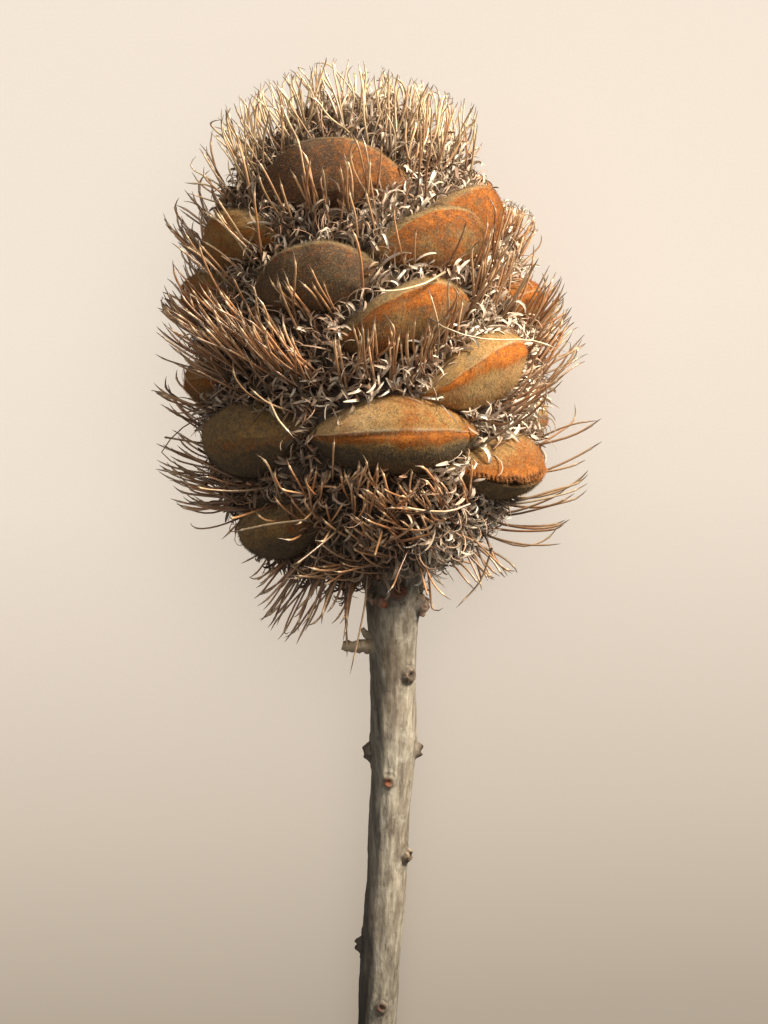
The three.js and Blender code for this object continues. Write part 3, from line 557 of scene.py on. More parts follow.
# ---------------------------------------------------------------- stem
def make_stem():
    rows_, cols = 400, 100
    v = np.linspace(-150.0, -9.0, rows_)
    # the stem's centre line and radius along it, smoothed
    u = np.interp(v, STEM_PATH[:, 1], STEM_PATH[:, 0])
    r = np.interp(v, STEM_PATH[:, 1], STEM_PATH[:, 2])
    kern = np.exp(-0.5 * (np.arange(-24, 25) / 9.0) ** 2); kern /= kern.sum()
    u = np.convolve(np.pad(u, 24, mode="edge"), kern, mode="valid")
    r = np.convolve(np.pad(r, 24, mode="edge"), kern, mode="valid")
    w = 0.5 * np.sin(v * 0.05)
    phi = 2 * np.pi * np.arange(cols) / cols
    VV, PH = np.meshgrid(v, phi, indexing="ij")
    ring = np.stack([np.sin(PH) * 6, VV * 0.10, np.cos(PH) * 6], -1)
    groove = noise(ring, 1.5, 1) * 0.19 + noise(ring, 0.75, 2) * 0.14
    lump = noise(np.stack([np.sin(PH) * 6, VV, np.cos(PH) * 6], -1), 9.0, 3) * 0.22
    wrinkle = noise(np.stack([np.sin(PH) * 6 * 0.5, VV, np.cos(PH) * 6 * 0.5], -1), 1.4, 0) * 0.06
    R = r[:, None] + groove + lump + wrinkle
    scar, red, shade, wood = (np.zeros_like(R) for _ in range(4))
    reds = {0: 0.35, 1: 0.45, 5: 0.95, 12: 0.2, 8: 0.2}
    for i, (sv, sp, out, half) in enumerate(SCARS):
        dv = (VV - sv) / half
        da = (PH - sp * RAD + np.pi) % (2 * np.pi) - np.pi
        dx = da * r[:, None] / (half * 0.85)
        rough = 0.45 * noise(np.stack([dx, dv, np.full_like(dx, i * 3.7)], -1), 0.42, i % 4) + 0.25 * noise(np.stack([dx, dv, np.full_like(dx, i * 1.9)], -1), 0.19, (i + 1) % 4)
        d = np.sqrt(dv ** 2 + dx ** 2) * (1 + 0.45 * rough)
        knob = np.clip(1.0 - d, 0, 1) * 1.7
        knob = np.clip(knob, 0, 1)
        knob = knob * knob * (3 - 2 * knob)
        bowl = np.clip(1 - d / 0.42, 0, 1) ** 1.2
        R += out * (0.80 * knob * (1 + 0.8 * rough) - 0.62 * bowl)
        R += 0.22 * np.exp(-((d - 1.2) / 0.25) ** 2) * np.minimum(out, 2) / 2
        scar = np.maximum(scar, np.clip((0.98 - d) * 2.2, 0, 1) * (0.80 + 0.5 * rough))
        red = np.maximum(red, reds.get(i, 0.0) * np.clip((0.62 - np.sqrt((dv + 0.12) ** 2 + dx ** 2)) * 2.4 * (1 + rough), 0, 1))
        # painted shade in each knob's hollow and in the crease round its edge
        shade = np.maximum(shade, np.clip(bowl * (0.95 if i in (2, 6, 7, 3, 4) else 0.5) + np.exp(-((d - 1.0) / 0.12) ** 2) * 0.40 * (1 + rough), 0, 1))
        if i in (2, 6):  # pale torn bits round the hole
            wood = np.maximum(wood, np.clip(np.exp(-((d - 0.62) / 0.16) ** 2) * (0.9 * (rough > 0.05)), 0, 0.85))
    P = np.stack([u[:, None] + R * np.sin(PH), VV, w[:, None] + R * np.cos(PH)], -1)
    # the cut end: the flat wood of the cut
    s = Soup()
    f, fi, fj = grid_faces(rows_, cols, True)
    uv = np.stack([np.stack([fj, fj + 1, fj + 1, fj], -1) / cols * 0.9, np.stack([fi, fi, fi + 1, fi + 1], -1) / (rows_ - 1)], -1)
    low = height(P)
    P += np.maximum(0.02 - low, 0)[..., None] * FLOOR_N
    # painted shade: the bark is darkened on the side turned from the key light, with a ragged edge, and towards the cut
    # end, where the light falls off
    ragged_shade_edge = 0.32 * noise(np.stack([np.sin(PH) * 6, VV * 0.45, np.cos(PH) * 6], -1), 3.2, 2) + 0.22 * noise(ring, 0.9, 3)
    painted_bark_shade = np.clip((-np.sin(PH) - 0.30 + ragged_shade_edge) / 0.42, 0, 1) * 0.60 + 0.50 * np.clip((-92 - VV) / 50, 0, 1)
    # painted shade on the stem's top, under the mat
    neck = np.clip((VV + 15) / 7, 0, 1)
    shade = np.clip(np.maximum(shade, 0.35 * neck ** 2) + painted_bark_shade * (1 - scar) * (1 - red), 0, 0.93)
    s.add(P.reshape(-1, 3), f[:, ::-1], uv[:, ::-1], scar=np.clip(scar, 0, 1).ravel(), red=np.clip(red, 0, 1).ravel(), shade=np.clip(shade, 0, 1).ravel(), wood=wood.ravel())
    rings_ = 10
    k = np.linspace(1, 0, rings_ + 1)[:-1]
    end = P[0]
    centre = end.mean(0)
    disc = centre + (end - centre)[None] * k[:, None, None]
    disc[1:, :, 1] += 0.10 * noise(disc[1:] * 1.0, 0.8, 2)
    disc[:, :, 1] += -0.15
    s2 = np.concatenate([disc.reshape(-1, 3), centre[None]])
    s2[:, 1] = np.minimum(s2[:, 1], -150.0 + 0.12)
    f2, gi, gj = grid_faces(rings_, cols, True)
    a = 2 * np.pi * np.stack([gj, gj + 1, gj + 1, gj], -1) / cols
    rr = 0.048 * (1 - np.stack([gi, gi, gi + 1, gi + 1], -1) / rings_)
    uv2 = np.stack([0.95 + rr * np.cos(a), 0.05 + rr * np.sin(a)], -1)
    grain = 0.35 + 0.35 * np.sin(np.repeat(k, cols) * 22) + 0.3 * noise(disc.reshape(-1, 3), 0.6, 1)
    heart = np.clip(1 - np.repeat(k, cols) / 0.18, 0, 1)
    bark_edge = np.clip((np.repeat(k, cols) - 0.86) / 0.1, 0, 1)
    wd = np.concatenate([np.clip((0.75 + 0.25 * grain) * (1 - 0.8 * bark_edge), 0, 1), [0.6]])
    sh = np.concatenate([np.clip(0.30 * grain + 0.5 * heart + 0.35 * bark_edge, 0, 0.8), [0.6]])
    s.add(s2, f2, uv2, wood=wd, shade=sh)
    c = len(s2) - 1
    fan = np.stack([np.full(cols, c), (rings_ - 1) * cols + (np.arange(cols) + 1) % cols, (rings_ - 1) * cols + np.arange(cols)], -1)
    uvf = np.full((cols, 3, 2), 0.95); uvf[..., 1] = 0.05
    uvf[:, 1] += 0.0046 * np.stack([np.cos(2 * np.pi * (np.arange(cols) + 1) / cols), np.sin(2 * np.pi * (np.arange(cols) + 1) / cols)], -1)
    uvf[:, 2] += 0.0046 * np.stack([np.cos(2 * np.pi * np.arange(cols) / cols), np.sin(2 * np.pi * np.arange(cols) / cols)], -1)
    s.faces.append((fan + s.n - len(s2), uvf, 0))
    # the broken leaf stalk, and the torn bud scales by the neck
    def stub(points, radii, tint, sides=14, rough=0.16):
        pts = np.array(points, float)
        tt = np.linspace(0, len(pts) - 1, 22)
        c_ = np.stack([np.interp(tt, np.arange(len(pts)), pts[:, i]) for i in range(3)], -1)
        rr_ = np.interp(tt, np.arange(len(pts)), radii)
        V_, F_, U_ = tubes(c_[None], rr_[None], sides, np.array([[0.92, 0.12 + 0.05 * stub.n, 0.07, 0.04]]), 5)
        centre_ = np.repeat(c_, sides, 0)
        V_ = V_ + (V_ - centre_) * rough * noise(V_, 0.9, 2)[:, None] * 2
        end_ = np.repeat(tt / tt[-1], sides)
        s.add(V_, F_, U_, wood=tint[0] * (0.4 + 0.6 * end_), red=tint[1] * end_, scar=tint[2] * (1 - end_), shade=np.where(end_ > 0.97, 0.6, 0.0))
        n_ = sides
        last = np.arange(sides)[None] + (s.n - sides)
        s.faces.append((last, np.full((1, n_, 2), 0.99), 0))
        stub.n += 1
    stub.n = 0
    v0 = -33.6
    stub([(-2.6, v0, 1.0), (-5.0, v0 + 0.2, 1.4), (-7.6, v0 - 0.2, 1.7), (-9.6, v0 + 0.2, 1.9), (-10.4, v0 + 0.4, 1.9)], [2.4, 1.8, 1.35, 1.25, 1.2], (0.9, 0.10, 0.5))
    stub([(-3.0, v0 + 2.2, 1.6), (-4.6, v0 + 3.4, 2.0), (-5.4, v0 + 4.6, 2.2)], [1.2, 0.9, 0.5], (0.5, 0.0, 0.6), 9)
    stub([(-1.6, -21.5, 6.8), (-0.2, -22.6, 8.6), (0.6, -23.4, 9.4)], [1.2, 1.1, 0.5], (0.1, 1.0, 0.3), 9, 0.3)
    stub([(-3.6, -20.2, 5.6), (-3.2, -22.0, 7.0), (-2.9, -23.2, 7.4)], [0.9, 0.8, 0.3], (0.2, 0.6, 0.3), 9, 0.3)
    stub([(8.0, -21.0, 2.2), (9.6, -22.2, 2.6), (9.9, -24.4, 2.6), (9.4, -26.0, 2.4)], [1.5, 1.5, 1.3, 0.5], (0.35, 0.55, 0.5), 10, 0.3)
    stub([(7.4, -19.6, 2.8), (9.8, -19.2, 3.0), (11.2, -19.4, 3.0)], [0.8, 0.5, 0.25], (0.2, 0.1, 0.7), 8, 0.2)
    s.v = [a_ + np.maximum(0.03 - height(a_), 0)[:, None] * FLOOR_N for a_ in s.v]
    return own(s.build("stem_bark", [BARK]), "stem")


make_stem()


# ---------------------------------------------------------------- follicles
def make_follicle(f, k):
    seam, blunt, peak, heat_up, heat_band, heat_low, dark0, cream0, rim_highlight0, opening = FOLLICLE_LOOK[f.name]
    g = np.random.default_rng(100 + k)
    np_, nq = 50, 50
    i = np.arange(1, np_)
    p = -np.cos(np.pi * i / np_)
    psi = np.linspace(-math.pi / 2, math.pi / 2, nq)
    Pp, PS = np.meshgrid(p, psi, indexing="ij")
    t = np.sin(PS)
    ap = np.abs(Pp)
    q = np.where(Pp > peak, (Pp - peak) / (1 - peak), (peak - Pp) / (1 + peak))
    over = f.b * (1 - q ** 1.85) ** blunt
    under = f.b * (1 - ap ** 2.1) ** 0.68
    fade = (1 - ap ** 6)
    # the seam wanders a little along the follicle and runs down to both tips
    seam_p = seam * (1 - ap ** 4) + 0.035 * noise(np.stack([Pp * 3, Pp * 0 + k, Pp * 0], -1), 1.0, 1)
    u = np.clip((t - seam_p) / (1 - seam_p), 0, 1)
    l = np.clip((seam_p - t) / (1 + seam_p), 0, 1)
    section = np.where(t > seam_p, (1 - u ** 2.3) ** 0.56 * (1 - 0.06 * u), (1 - l ** 2.25) ** 0.60)
    hc = f.c * (1 - ap ** 2.5) ** 0.60
    ridge = np.exp(-((t - seam_p) / 0.035) ** 2)
    fold = np.exp(-((t - seam_p + 0.095) / 0.045) ** 2)
    swell = np.exp(-((l - 0.24) / 0.17) ** 2) * (t < seam_p)
    z = hc * section + (ridge * 0.30 - fold * 0.30) * (0.25 + cream0) * fade + 0.38 * swell * fade * (0.5 + 0.5 * heat_band)
    y = t * np.where(t > 0, over, under)
    if opening:
        along = np.clip(1 - (np.abs(Pp + 0.36) / 0.52) ** 2.5, 0, 1)
        ragged = 0.045 * noise(np.stack([Pp * 14, Pp * 0 + k, Pp * 0], -1), 1.0, 2)
        mouth = np.exp(-((t - seam_p + 0.215 + 0.5 * ragged) / (0.115 * opening + 0.02)) ** 4) * along
        z = z - 5.0 * opening * mouth
        lip = np.exp(-((t - seam_p) / 0.11) ** 2) * along
        y = y - (0.9 + 14 * ragged) * opening * lip
        z = z + 0.8 * opening * lip
    else:
        mouth = np.zeros_like(t)
    skirt = np.where(np.abs(t) > 0.985, (np.abs(t) - 0.985) / 0.015, 0)
    z = z - 2.2 * skirt
    x = Pp * f.a
    base = f.place(x, y, z)
    z = z + 0.34 * noise(base, 6.0, 0) * fade + 0.14 * noise(base, 2.2, 1) * fade + 0.05 * noise(base, 0.8, 3)
    y = y + 0.30 * noise(base, 8.0, 2) * fade
    P = f.place(x, y, z)
    tips = f.place(np.array([-f.a, f.a]), np.array([-0.3, -0.3]), np.array([-0.2, -0.2]))
    low = height(P)
    P = P + np.maximum(0.62 - low, 0)[..., None] * FLOOR_N
    rows_, cols = P.shape[:2]
    # normals, facing out
    du = np.gradient(P, axis=0); dv = np.gradient(P, axis=1)
    N = unit(np.cross(du, dv))
    if (N.reshape(-1, 3) @ f.n).mean() < 0:
        N = -N
    # colour fields
    edge = 0.05 * noise(np.stack([Pp * 9, Pp * 0 + k * 1.7, Pp * 0], -1), 1.0, 3) + 0.04 * noise(P, 1.3, 2)
    band = 1 / (1 + np.exp((l - 0.36 - edge) / 0.035)) * (t < seam_p)
    lipband = np.exp(-(u / 0.42) ** 2) * min(opening * 1.2, 1)
    heat = np.where(t > seam_p, heat_up + (1 - heat_up) * lipband, heat_low + (heat_band - heat_low) * band)
    heat = np.clip(heat + 0.10 * Pp + 0.08 * noise(P, 5.0, 1), 0, 1)
    # painted shade: the lower valve darkens past the band, where it faces down; its bottom edge, the crease under the
    # seam and the open mouth are darkened too
    underside_shade = np.clip((l - 0.36 - edge) / 0.20, 0, 1) * np.clip(1.15 - heat_low * 2.0, 0.04, 1)
    dark = dark0 * (0.7 + 0.3 * (l > 0.05)) + 0.92 * underside_shade + 0.6 * np.clip((np.abs(t) - 0.93) / 0.07, 0, 1) * (t < 0) + 1.4 * mouth
    dark = dark + 0.30 * np.exp(-((t - seam_p + 0.085) / 0.035) ** 2) * cream0 * fade
    # painted shade: follicles 01, 07 and 12 darker towards their left ends, turned from the light, and 07 on its lower
    # valve; 09 and 13 get less of the lower valve's painted shade
    if f.name == "follicle_01":
        dark = dark + 0.85 * np.clip(0.45 - 1.5 * Pp, 0, 1) - 0.12 * np.clip((Pp - 0.1) / 0.5, 0, 1)
    if f.name == "follicle_07":
        dark = dark + 0.35 * np.clip(-0.2 - Pp, 0, 1) + 0.20 * (l > 0.35)
    if f.name == "follicle_12":
        dark = dark + 0.55 * np.clip(-0.25 - Pp, 0, 1) * (t < seam_p)
    if f.name == "follicle_09":
        dark = dark - 0.25 * np.clip((l - 0.30) / 0.2, 0, 1)
    if f.name == "follicle_13":
        dark = dark - 0.28 * np.clip((l - 0.45) / 0.2, 0, 1)
    dark = np.clip(dark, 0, 1)
    cream = ridge * cream0 * fade * np.clip(0.70 + 0.7 * noise(P, 3.0, 3) + 0.25 * Pp, 0, 1)
    # painted highlight along each follicle's top rim and over its upper valve
    rim = rim_highlight0 * np.clip((t - 0.60) / 0.25, 0, 1) + 0.25 * rim_highlight0 * (t > seam_p)
    # painted highlight: follicle 09's lower valve gets rim colour, and follicle 12's upper valve gets rim colour and
    # pale cream towards its left end, where it turns from the light
    if f.name == "follicle_09":
        rim = rim + 0.55 * np.clip((l - 0.36) / 0.1, 0, 1)
    if f.name == "follicle_12":
        rim = rim + 0.70 * np.clip((-0.05 - Pp) / 0.35, 0, 1) * (t > seam_p)
        cream = np.clip(cream + 0.10 * np.clip((-0.10 - Pp) / 0.45, 0, 1) * (t > seam_p), 0, 1)
    rim = np.clip(rim, 0, 1)
    s = Soup()
    faces, fi, fj = grid_faces(rows_, cols, False)
    uv = np.stack([np.stack([fi, fi, fi + 1, fi + 1], -1) / (rows_ - 1), 0.60 * np.stack([fj, fj + 1, fj + 1, fj], -1) / (cols - 1)], -1)
    # painted light: tone lifts follicle 12's upper valve towards its left end and all of follicle 09
    lift = np.zeros_like(t)
    if f.name == "follicle_12":
        lift = -0.10 + 0.60 * np.clip((-0.12 - Pp) / 0.4, 0, 1) * (t > seam_p)
    if f.name == "follicle_09":
        lift = lift + 0.24
    s.add(P.reshape(-1, 3), faces, uv, warmth=heat.ravel(), dark=dark.ravel(), cream=cream.ravel(), rim=rim.ravel(), tone=(0.45 + lift).ravel())
    # closing fans at the two tips
    for e, (ring, tip) in enumerate(((P[0], tips[0]), (P[-1], tips[1]))):
        V_ = np.concatenate([ring, tip[None]])
        n_ = len(ring)
        F_ = np.stack([np.full(n_ - 1, n_), np.arange(n_ - 1), np.arange(1, n_)], -1)
        if e == 0:
            F_ = F_[:, ::-1]
        U_ = np.zeros((n_ - 1, 3, 2)); U_[..., 0] = 0.002 if e == 0 else 0.998; U_[..., 1] = 0.6 * F_ / n_
        s.add(V_, F_, U_, warmth=heat_low, dark=dark0, cream=0, rim=0, tone=0.45)
    # velvet: short fine hairs, combed down from the seam, over the whole follicle
    count = 11000 if f.p[2] > -5 else 4200
    ii = np.arange((rows_ - 1) * (cols - 1))
    a_ = P[:-1, :-1].reshape(-1, 3); b_ = P[1:, :-1].reshape(-1, 3); c_ = P[:-1, 1:].reshape(-1, 3)
    area = np.linalg.norm(np.cross(b_ - a_, c_ - a_), axis=1)
    pick = g.choice(ii, size=count, p=area / area.sum())
    iu, jv = pick // (cols - 1), pick % (cols - 1)
    fu, fv = g.random(count), g.random(count)

    def at(A):
        A = np.asarray(A)
        e = (1,) * (A.ndim - 2)
        u_, v_ = fu.reshape(-1, *e), fv.reshape(-1, *e)
        return (A[iu, jv] * (1 - u_) + A[iu + 1, jv] * u_) * (1 - v_) + (A[iu, jv + 1] * (1 - u_) + A[iu + 1, jv + 1] * u_) * v_
    root, nn, tt_, pp_ = at(P), unit(at(N)), at(t - seam_p), at(Pp)
    lay_ = g.normal(size=(count, 3)) * 0.55 + f.up * (0.55 * np.sign(tt_))[:, None] + f.t * (0.35 * pp_)[:, None]
    lay_ = unit(lay_ - (lay_ * nn).sum(1, keepdims=True) * nn)
    d = unit(nn * (0.62 + 0.25 * g.random(count))[:, None] + lay_ * 0.75)
    length = 0.45 + 0.60 * g.random(count) ** 1.5
    wide = unit(np.cross(d, nn))
    spin = g.normal(size=count)[:, None] * 0.45
    wide = unit(wide * np.cos(spin) + np.cross(d, wide) * np.sin(spin))
    tip = root + d * length[:, None]
    lowtip = height(tip)
    tip = tip + np.maximum(0.08 - lowtip, 0)[:, None] * FLOOR_N
    half = 0.033
    V_ = np.stack([root - wide * half - nn * 0.03, root + wide * half - nn * 0.03, tip], 1)
    turn = (np.cross(V_[:, 1] - V_[:, 0], V_[:, 2] - V_[:, 0]) * nn).sum(1) < 0
    V_[turn] = V_[turn][:, [1, 0, 2]]
    F_ = np.arange(count * 3).reshape(-1, 3)
    box = cells(count, 0.0, 0.62, 1.0, 1.0, 1.0)
    U_ = np.stack([box[:, :2], box[:, :2] + box[:, 2:] * [1, 0], box[:, :2] + box[:, 2:] * [0.5, 1]], 1)
    tone_root = 0.36 + 0.16 * g.random(count)
    tone_tip = 0.52 + 0.42 * g.random(count)
    tone = (np.stack([tone_root, tone_root, tone_tip], 1) + at(lift)[:, None]).ravel()
    three = lambda A: np.repeat(at(A), 3)
    s.add(V_.reshape(-1, 3), F_, U_, warmth=three(heat), dark=three(dark) * 0.92, cream=three(cream), rim=three(rim), tone=tone)
    if opening > 0.8:  # the upper lip's fringe over the open mouth
        m = 2400
        px_ = -0.24 + (g.random(m) - 0.5) * 1.40
        tx = seam + 0.02 - 0.10 * g.random(m)
        clump = 0.5 + 0.5 * noise(np.stack([px_ * 26, px_ * 0, px_ * 0], -1), 1.0, 1)
        iu2 = np.clip(np.searchsorted(p, px_), 1, rows_ - 1)
        jv2 = np.clip(np.searchsorted(np.sin(psi), tx), 1, cols - 1)
        r0 = P[iu2, jv2] + g.normal(size=(m, 3)) * 0.12
        dd = unit(-f.up * (0.45 + 0.6 * clump)[:, None] + f.n * 0.42 + f.t * (0.5 * noise(np.stack([px_ * 17, px_ * 0, px_ * 0], -1), 1.0, 0))[:, None] + g.normal(size=(m, 3)) * 0.22)
        L_ = (0.5 + 0.7 * g.random(m)) * (0.55 + 1.25 * clump)
        ww = unit(np.cross(dd, f.n + g.normal(size=(m, 3)) * 0.4))
        V2 = np.stack([r0 - ww * 0.040, r0 + ww * 0.040, r0 + dd * L_[:, None]], 1)
        flip = (np.cross(V2[:, 1] - V2[:, 0], V2[:, 2] - V2[:, 0]) @ f.n) < 0
        V2[flip] = V2[flip][:, [1, 0, 2]]
        s.add(V2.reshape(-1, 3), np.arange(m * 3).reshape(-1, 3), U_[:m], warmth=0.98, dark=0.0, cream=np.repeat(0.35 * g.random(m), 3), rim=0.0, tone=np.tile([0.35, 0.35, 0.75], m))
    return own(s.build(f.name + "_velvet", [VELVET]), f.name)


for k, f in enumerate(follicles):
    make_follicle(f, k)


# ---------------------------------------------------------------- the mat: its woody ground, then curled bracts
def make_core():
    cols = 160
    s_ = np.concatenate([np.linspace(0.35, 6, 14), np.linspace(6.8, CONE_LENGTH - 6, 88), np.linspace(CONE_LENGTH - 5.3, CONE_LENGTH - 0.05, 18)])
    S, PH = np.meshgrid(s_, 2 * np.pi * np.arange(cols) / cols, indexing="ij")
    p0, n, _, _ = on_cone(S, PH, 0.0)
    lift = 0.35 + 0.95 * noise(p0, 3.0, 0) + 0.55 * noise(p0, 1.4, 1) + 0.5 * noise(p0, 7.0, 2)
    P = p0 + n * lift[..., None]
    low = height(P)
    P += np.maximum(0.55 - low, 0)[..., None] * FLOOR_N
    s = Soup()
    f_, fi, fj = grid_faces(len(s_), cols, True)
    uv = np.stack([np.stack([fj, fj + 1, fj + 1, fj], -1) / cols, np.stack([fi, fi, fi + 1, fi + 1], -1) / (len(s_) - 1)], -1)
    s.add(P.reshape(-1, 3), f_, uv)
    return own(s.build("cone_core", [CORE]), "cone_body")


make_core()


def patch_of(s, phi):
    """Which patch of the mat a root belongs to."""
    names = np.empty(len(s), object)
    mids = np.array([(99.25 + 0), 85.75, 65.75, 41.75, 19.75])
    band = (s[:, None] < mids[None]).sum(1)
    for b, (name, _, _, sectors, start) in enumerate(BANDS):
        sel = band == b
        deg = phi[sel] / RAD
        k = np.round((deg - start) / (360 / sectors)).astype(int) % sectors
        names[sel] = [f"styles_{name}_{q + 1}" for q in k]
    return names


soups = {f"styles_{name}_{q + 1}": {"styles": [], "bits": []} for name, _, _, sectors, _ in BANDS for q in range(sectors)}


def make_bits(count, seed):
    """Curled dried flower parts and bracts, all over the mat."""
    g = np.random.default_rng(seed)
    tries = int(count * 2.2)
    s = g.random(tries) * (CONE_LENGTH - 3) + 1.5
    phi = g.random(tries) * 2 * np.pi - np.pi
    low_front = (s < 32) & (phi < 20 * RAD) & (phi > -100 * RAD)
    low_right = np.clip((30 - s) / 8, 0, 1) * np.clip((phi / RAD - 38) / 14, 0, 1) * (phi < 140 * RAD)
    keep = g.random(tries) < (radius(s) + 6) / 44 * np.interp(s, [98, 107, 112], [1.0, 0.55, 0.95]) * np.where(low_front, 0.55, 1.0) * (1 - 0.25 * low_right)
    s, phi, low_right = s[keep], phi[keep], low_right[keep]
    lift = (0.3 + 2.3 * g.random(len(s))) * (1 - 0.7 * low_right)
    p, n, t, up = on_cone(s, phi, lift)
    ok = ~in_follicle(p + n * 0.8, -0.6) & (np.hypot(p[:, 0] - 2.4, p[:, 2]) > np.where(s < 6, 9.6, 0))
    s, phi, p, n, t, up, low_right = (a[ok][:count] for a in (s, phi, p, n, t, up, low_right))
    N = len(s)
    top = np.clip((s - 90) / 12, 0, 1)
    pick = g.random(N)
    # curled straps, small scales, long thin curls and broad pale straps
    kind = np.where(pick < 0.42 - 0.22 * top, 0, np.where(pick < 0.48, 1, np.where(pick < 0.70, 2, 3)))
    choose = lambda *v: np.array(v)[kind]
    tilt = np.interp(s, [0, 15, 35, 60, 85, 100, 117], [-40, -20, 8, 34, 54, 60, 30]) * RAD + g.normal(size=N) * choose(0.55, 0.35, 0.55, 0.42)
    swing = g.normal(size=N) * choose(0.85, 0.5, 0.9, 0.75) * (1 - 0.35 * top)
    d = unit(n * np.cos(tilt)[:, None] + up * np.sin(tilt)[:, None] + t * swing[:, None])
    e = unit(np.cross(d, g.normal(size=(N, 3)) + 1.1 * n))
    L = (choose(5.8, 3.4, 6.8, 5.4) + choose(4.2, 2.2, 4.8, 4.0) * g.random(N)) * np.interp(s, [96, 110], [1.0, 0.7]) * (1 - 0.42 * low_right)
    theta = choose(2.8, 0.5, 0.9, 0.9) + choose(3.0, 1.2, 3.0, 2.6) * g.random(N)
    K = 7
    f_ = np.array([0, 0.23, 0.44, 0.62, 0.77, 0.89, 1.0])
    ang = theta[:, None] * f_[None] ** 1.6
    dirs = d[:, None] * np.cos(ang)[..., None] + e[:, None] * np.sin(ang)[..., None]
    mid = unit(dirs[:, :-1] + dirs[:, 1:])
    P = np.concatenate([p[:, None], p[:, None] + np.cumsum(mid * (np.diff(f_)[None] * L[:, None])[..., None], 1)], 1)
    P[:, 0] = on_cone(s, phi, -0.9)[0]  # each one's foot is inside the core
    axis = np.cross(d, e)
    twist = g.normal(size=N)[:, None] * f_[None] * choose(0.9, 0.5, 1.2, 0.8)[:, None]
    loc = np.cross(axis[:, None], dirs)
    B = unit(axis[:, None] * np.cos(twist)[..., None] + loc * np.sin(twist)[..., None])
    W = (choose(0.21, 0.26, 0.12, 0.28) + choose(0.15, 0.16, 0.06, 0.24) * g.random(N))[:, None] * np.array([0.60, 0.92, 1.0, 0.97, 0.88, 0.70, 0.30])[None]
    low = height(P)
    P = P + np.maximum(0.45 - low, 0)[..., None] * FLOOR_N
    bad = (in_follicle(P.reshape(-1, 3), -0.4).reshape(N, K)[:, 1:].sum(1) > 1)
    # tone of each bit: random and by kind, darker towards the crown, a few pale ones at random; painted shade on the
    # low front under the front styles, on the left side and under the sweep of styles on the left; painted light on the
    # right side
    tone = np.clip(g.beta(2.3, 2.2, N) + 0.14 * noise(p, 9.0, 1) + choose(-0.06, -0.15, -0.12, -0.03) - 0.40 * ((s < 36) & (phi < 16 * RAD) & (phi > -110 * RAD)) + 0.14 * ((s < 60) & (phi > 24 * RAD) & (phi < 110 * RAD)) - 0.16 * np.clip((s - 84) / 12, 0, 1) + 0.42 * (g.random(N) < 0.12)
                   - 0.14 * np.clip((-phi / RAD - 5) / 25, 0, 1) * (phi > -130 * RAD)
                   - 0.26 * np.exp(-(((s - 50) / 13) ** 4 + ((phi / RAD + 40) / 32) ** 4)), 0, 1)
    trough = 0.30 + 0.8 * g.random(N)
    names = patch_of(s, phi)
    for i in np.where(~bad)[0]:
        soups[names[i]]["bits"].append(i)
    tint = np.clip(g.random(N) ** 1.3 + 0.20 * noise(p, 11.0, 2) + 0.20 * ((s < 34) & (phi < 40 * RAD)) - 0.30 * (kind == 3) + 0.45 * (kind == 2), 0, 1)
    return P, B, W, trough, tone, tint, f_


BITS = make_bits(12200, 31)


# ---------------------------------------------------------------- styles
FRACTION = np.array([0, .10, .23, .37, .51, .64, .75, .825, .85, .88, .935, 1.0])
GIRTH = np.array([.40, .36, .33, .31, .30, .29, .285, .29, .35, .20, .145, .04])
# how far the styles reach to the left and right in the photograph, by height in it
LEFT = ([40, 56, 68, 80, 92, 104, 128, 152, 166, 200, 214, 240, 262, 284, 320, 344, 392, 404, 416, 428, 440, 476, 500, 524, 548, 572, 585, 620, 632, 645, 660, 690],
        [352, 330, 294, 264, 245, 227, 207, 198, 188, 180, 162, 167, 172, 165, 160, 151, 151, 165, 182, 172, 160, 160, 176, 190, 224, 240, 258, 258, 270, 288, 345, 349])
RIGHT = ([40, 56, 68, 80, 92, 104, 140, 164, 188, 198, 206, 236, 260, 284, 308, 332, 356, 380, 394, 410, 440, 452, 488, 512, 540, 550, 562, 574, 584, 596, 608, 630, 690],
         [346, 350, 391, 425, 447, 476, 481, 477, 475, 500, 528, 541, 551, 560, 567, 583, 592, 590, 580, 595, 604, 588, 588, 568, 566, 551, 520, 520, 482, 472, 458, 420, 414])


def fits(P, slack=2.0):
    """Whether each style stays inside the outline that the styles have in the photograph."""
    q = pixel(P)
    y = q[..., 1]
    return ((q[..., 0] > np.interp(y, *LEFT) - slack) & (q[..., 0] < np.interp(y, *RIGHT) + slack) & (y > 55)).all(-1)


def fitted(P, slack=2.0):
    """Styles shortened until they stay inside that outline, and which of them do."""
    out, done = P.copy(), fits(P, slack)
    for k in (0.90, 0.80, 0.70, 0.60):
        shorter = P[:, :1] + (P - P[:, :1]) * k
        new = ~done & fits(shorter, slack)
        out[new] = shorter[new]
        done |= new
    return out, done
ROOT_TILT = ([0, 6, 12, 20, 30, 42, 55, 68, 80, 90, 98, 106, 117], [-66, -56, -42, -20, 4, 26, 44, 54, 60, 68, 76, 82, 88])


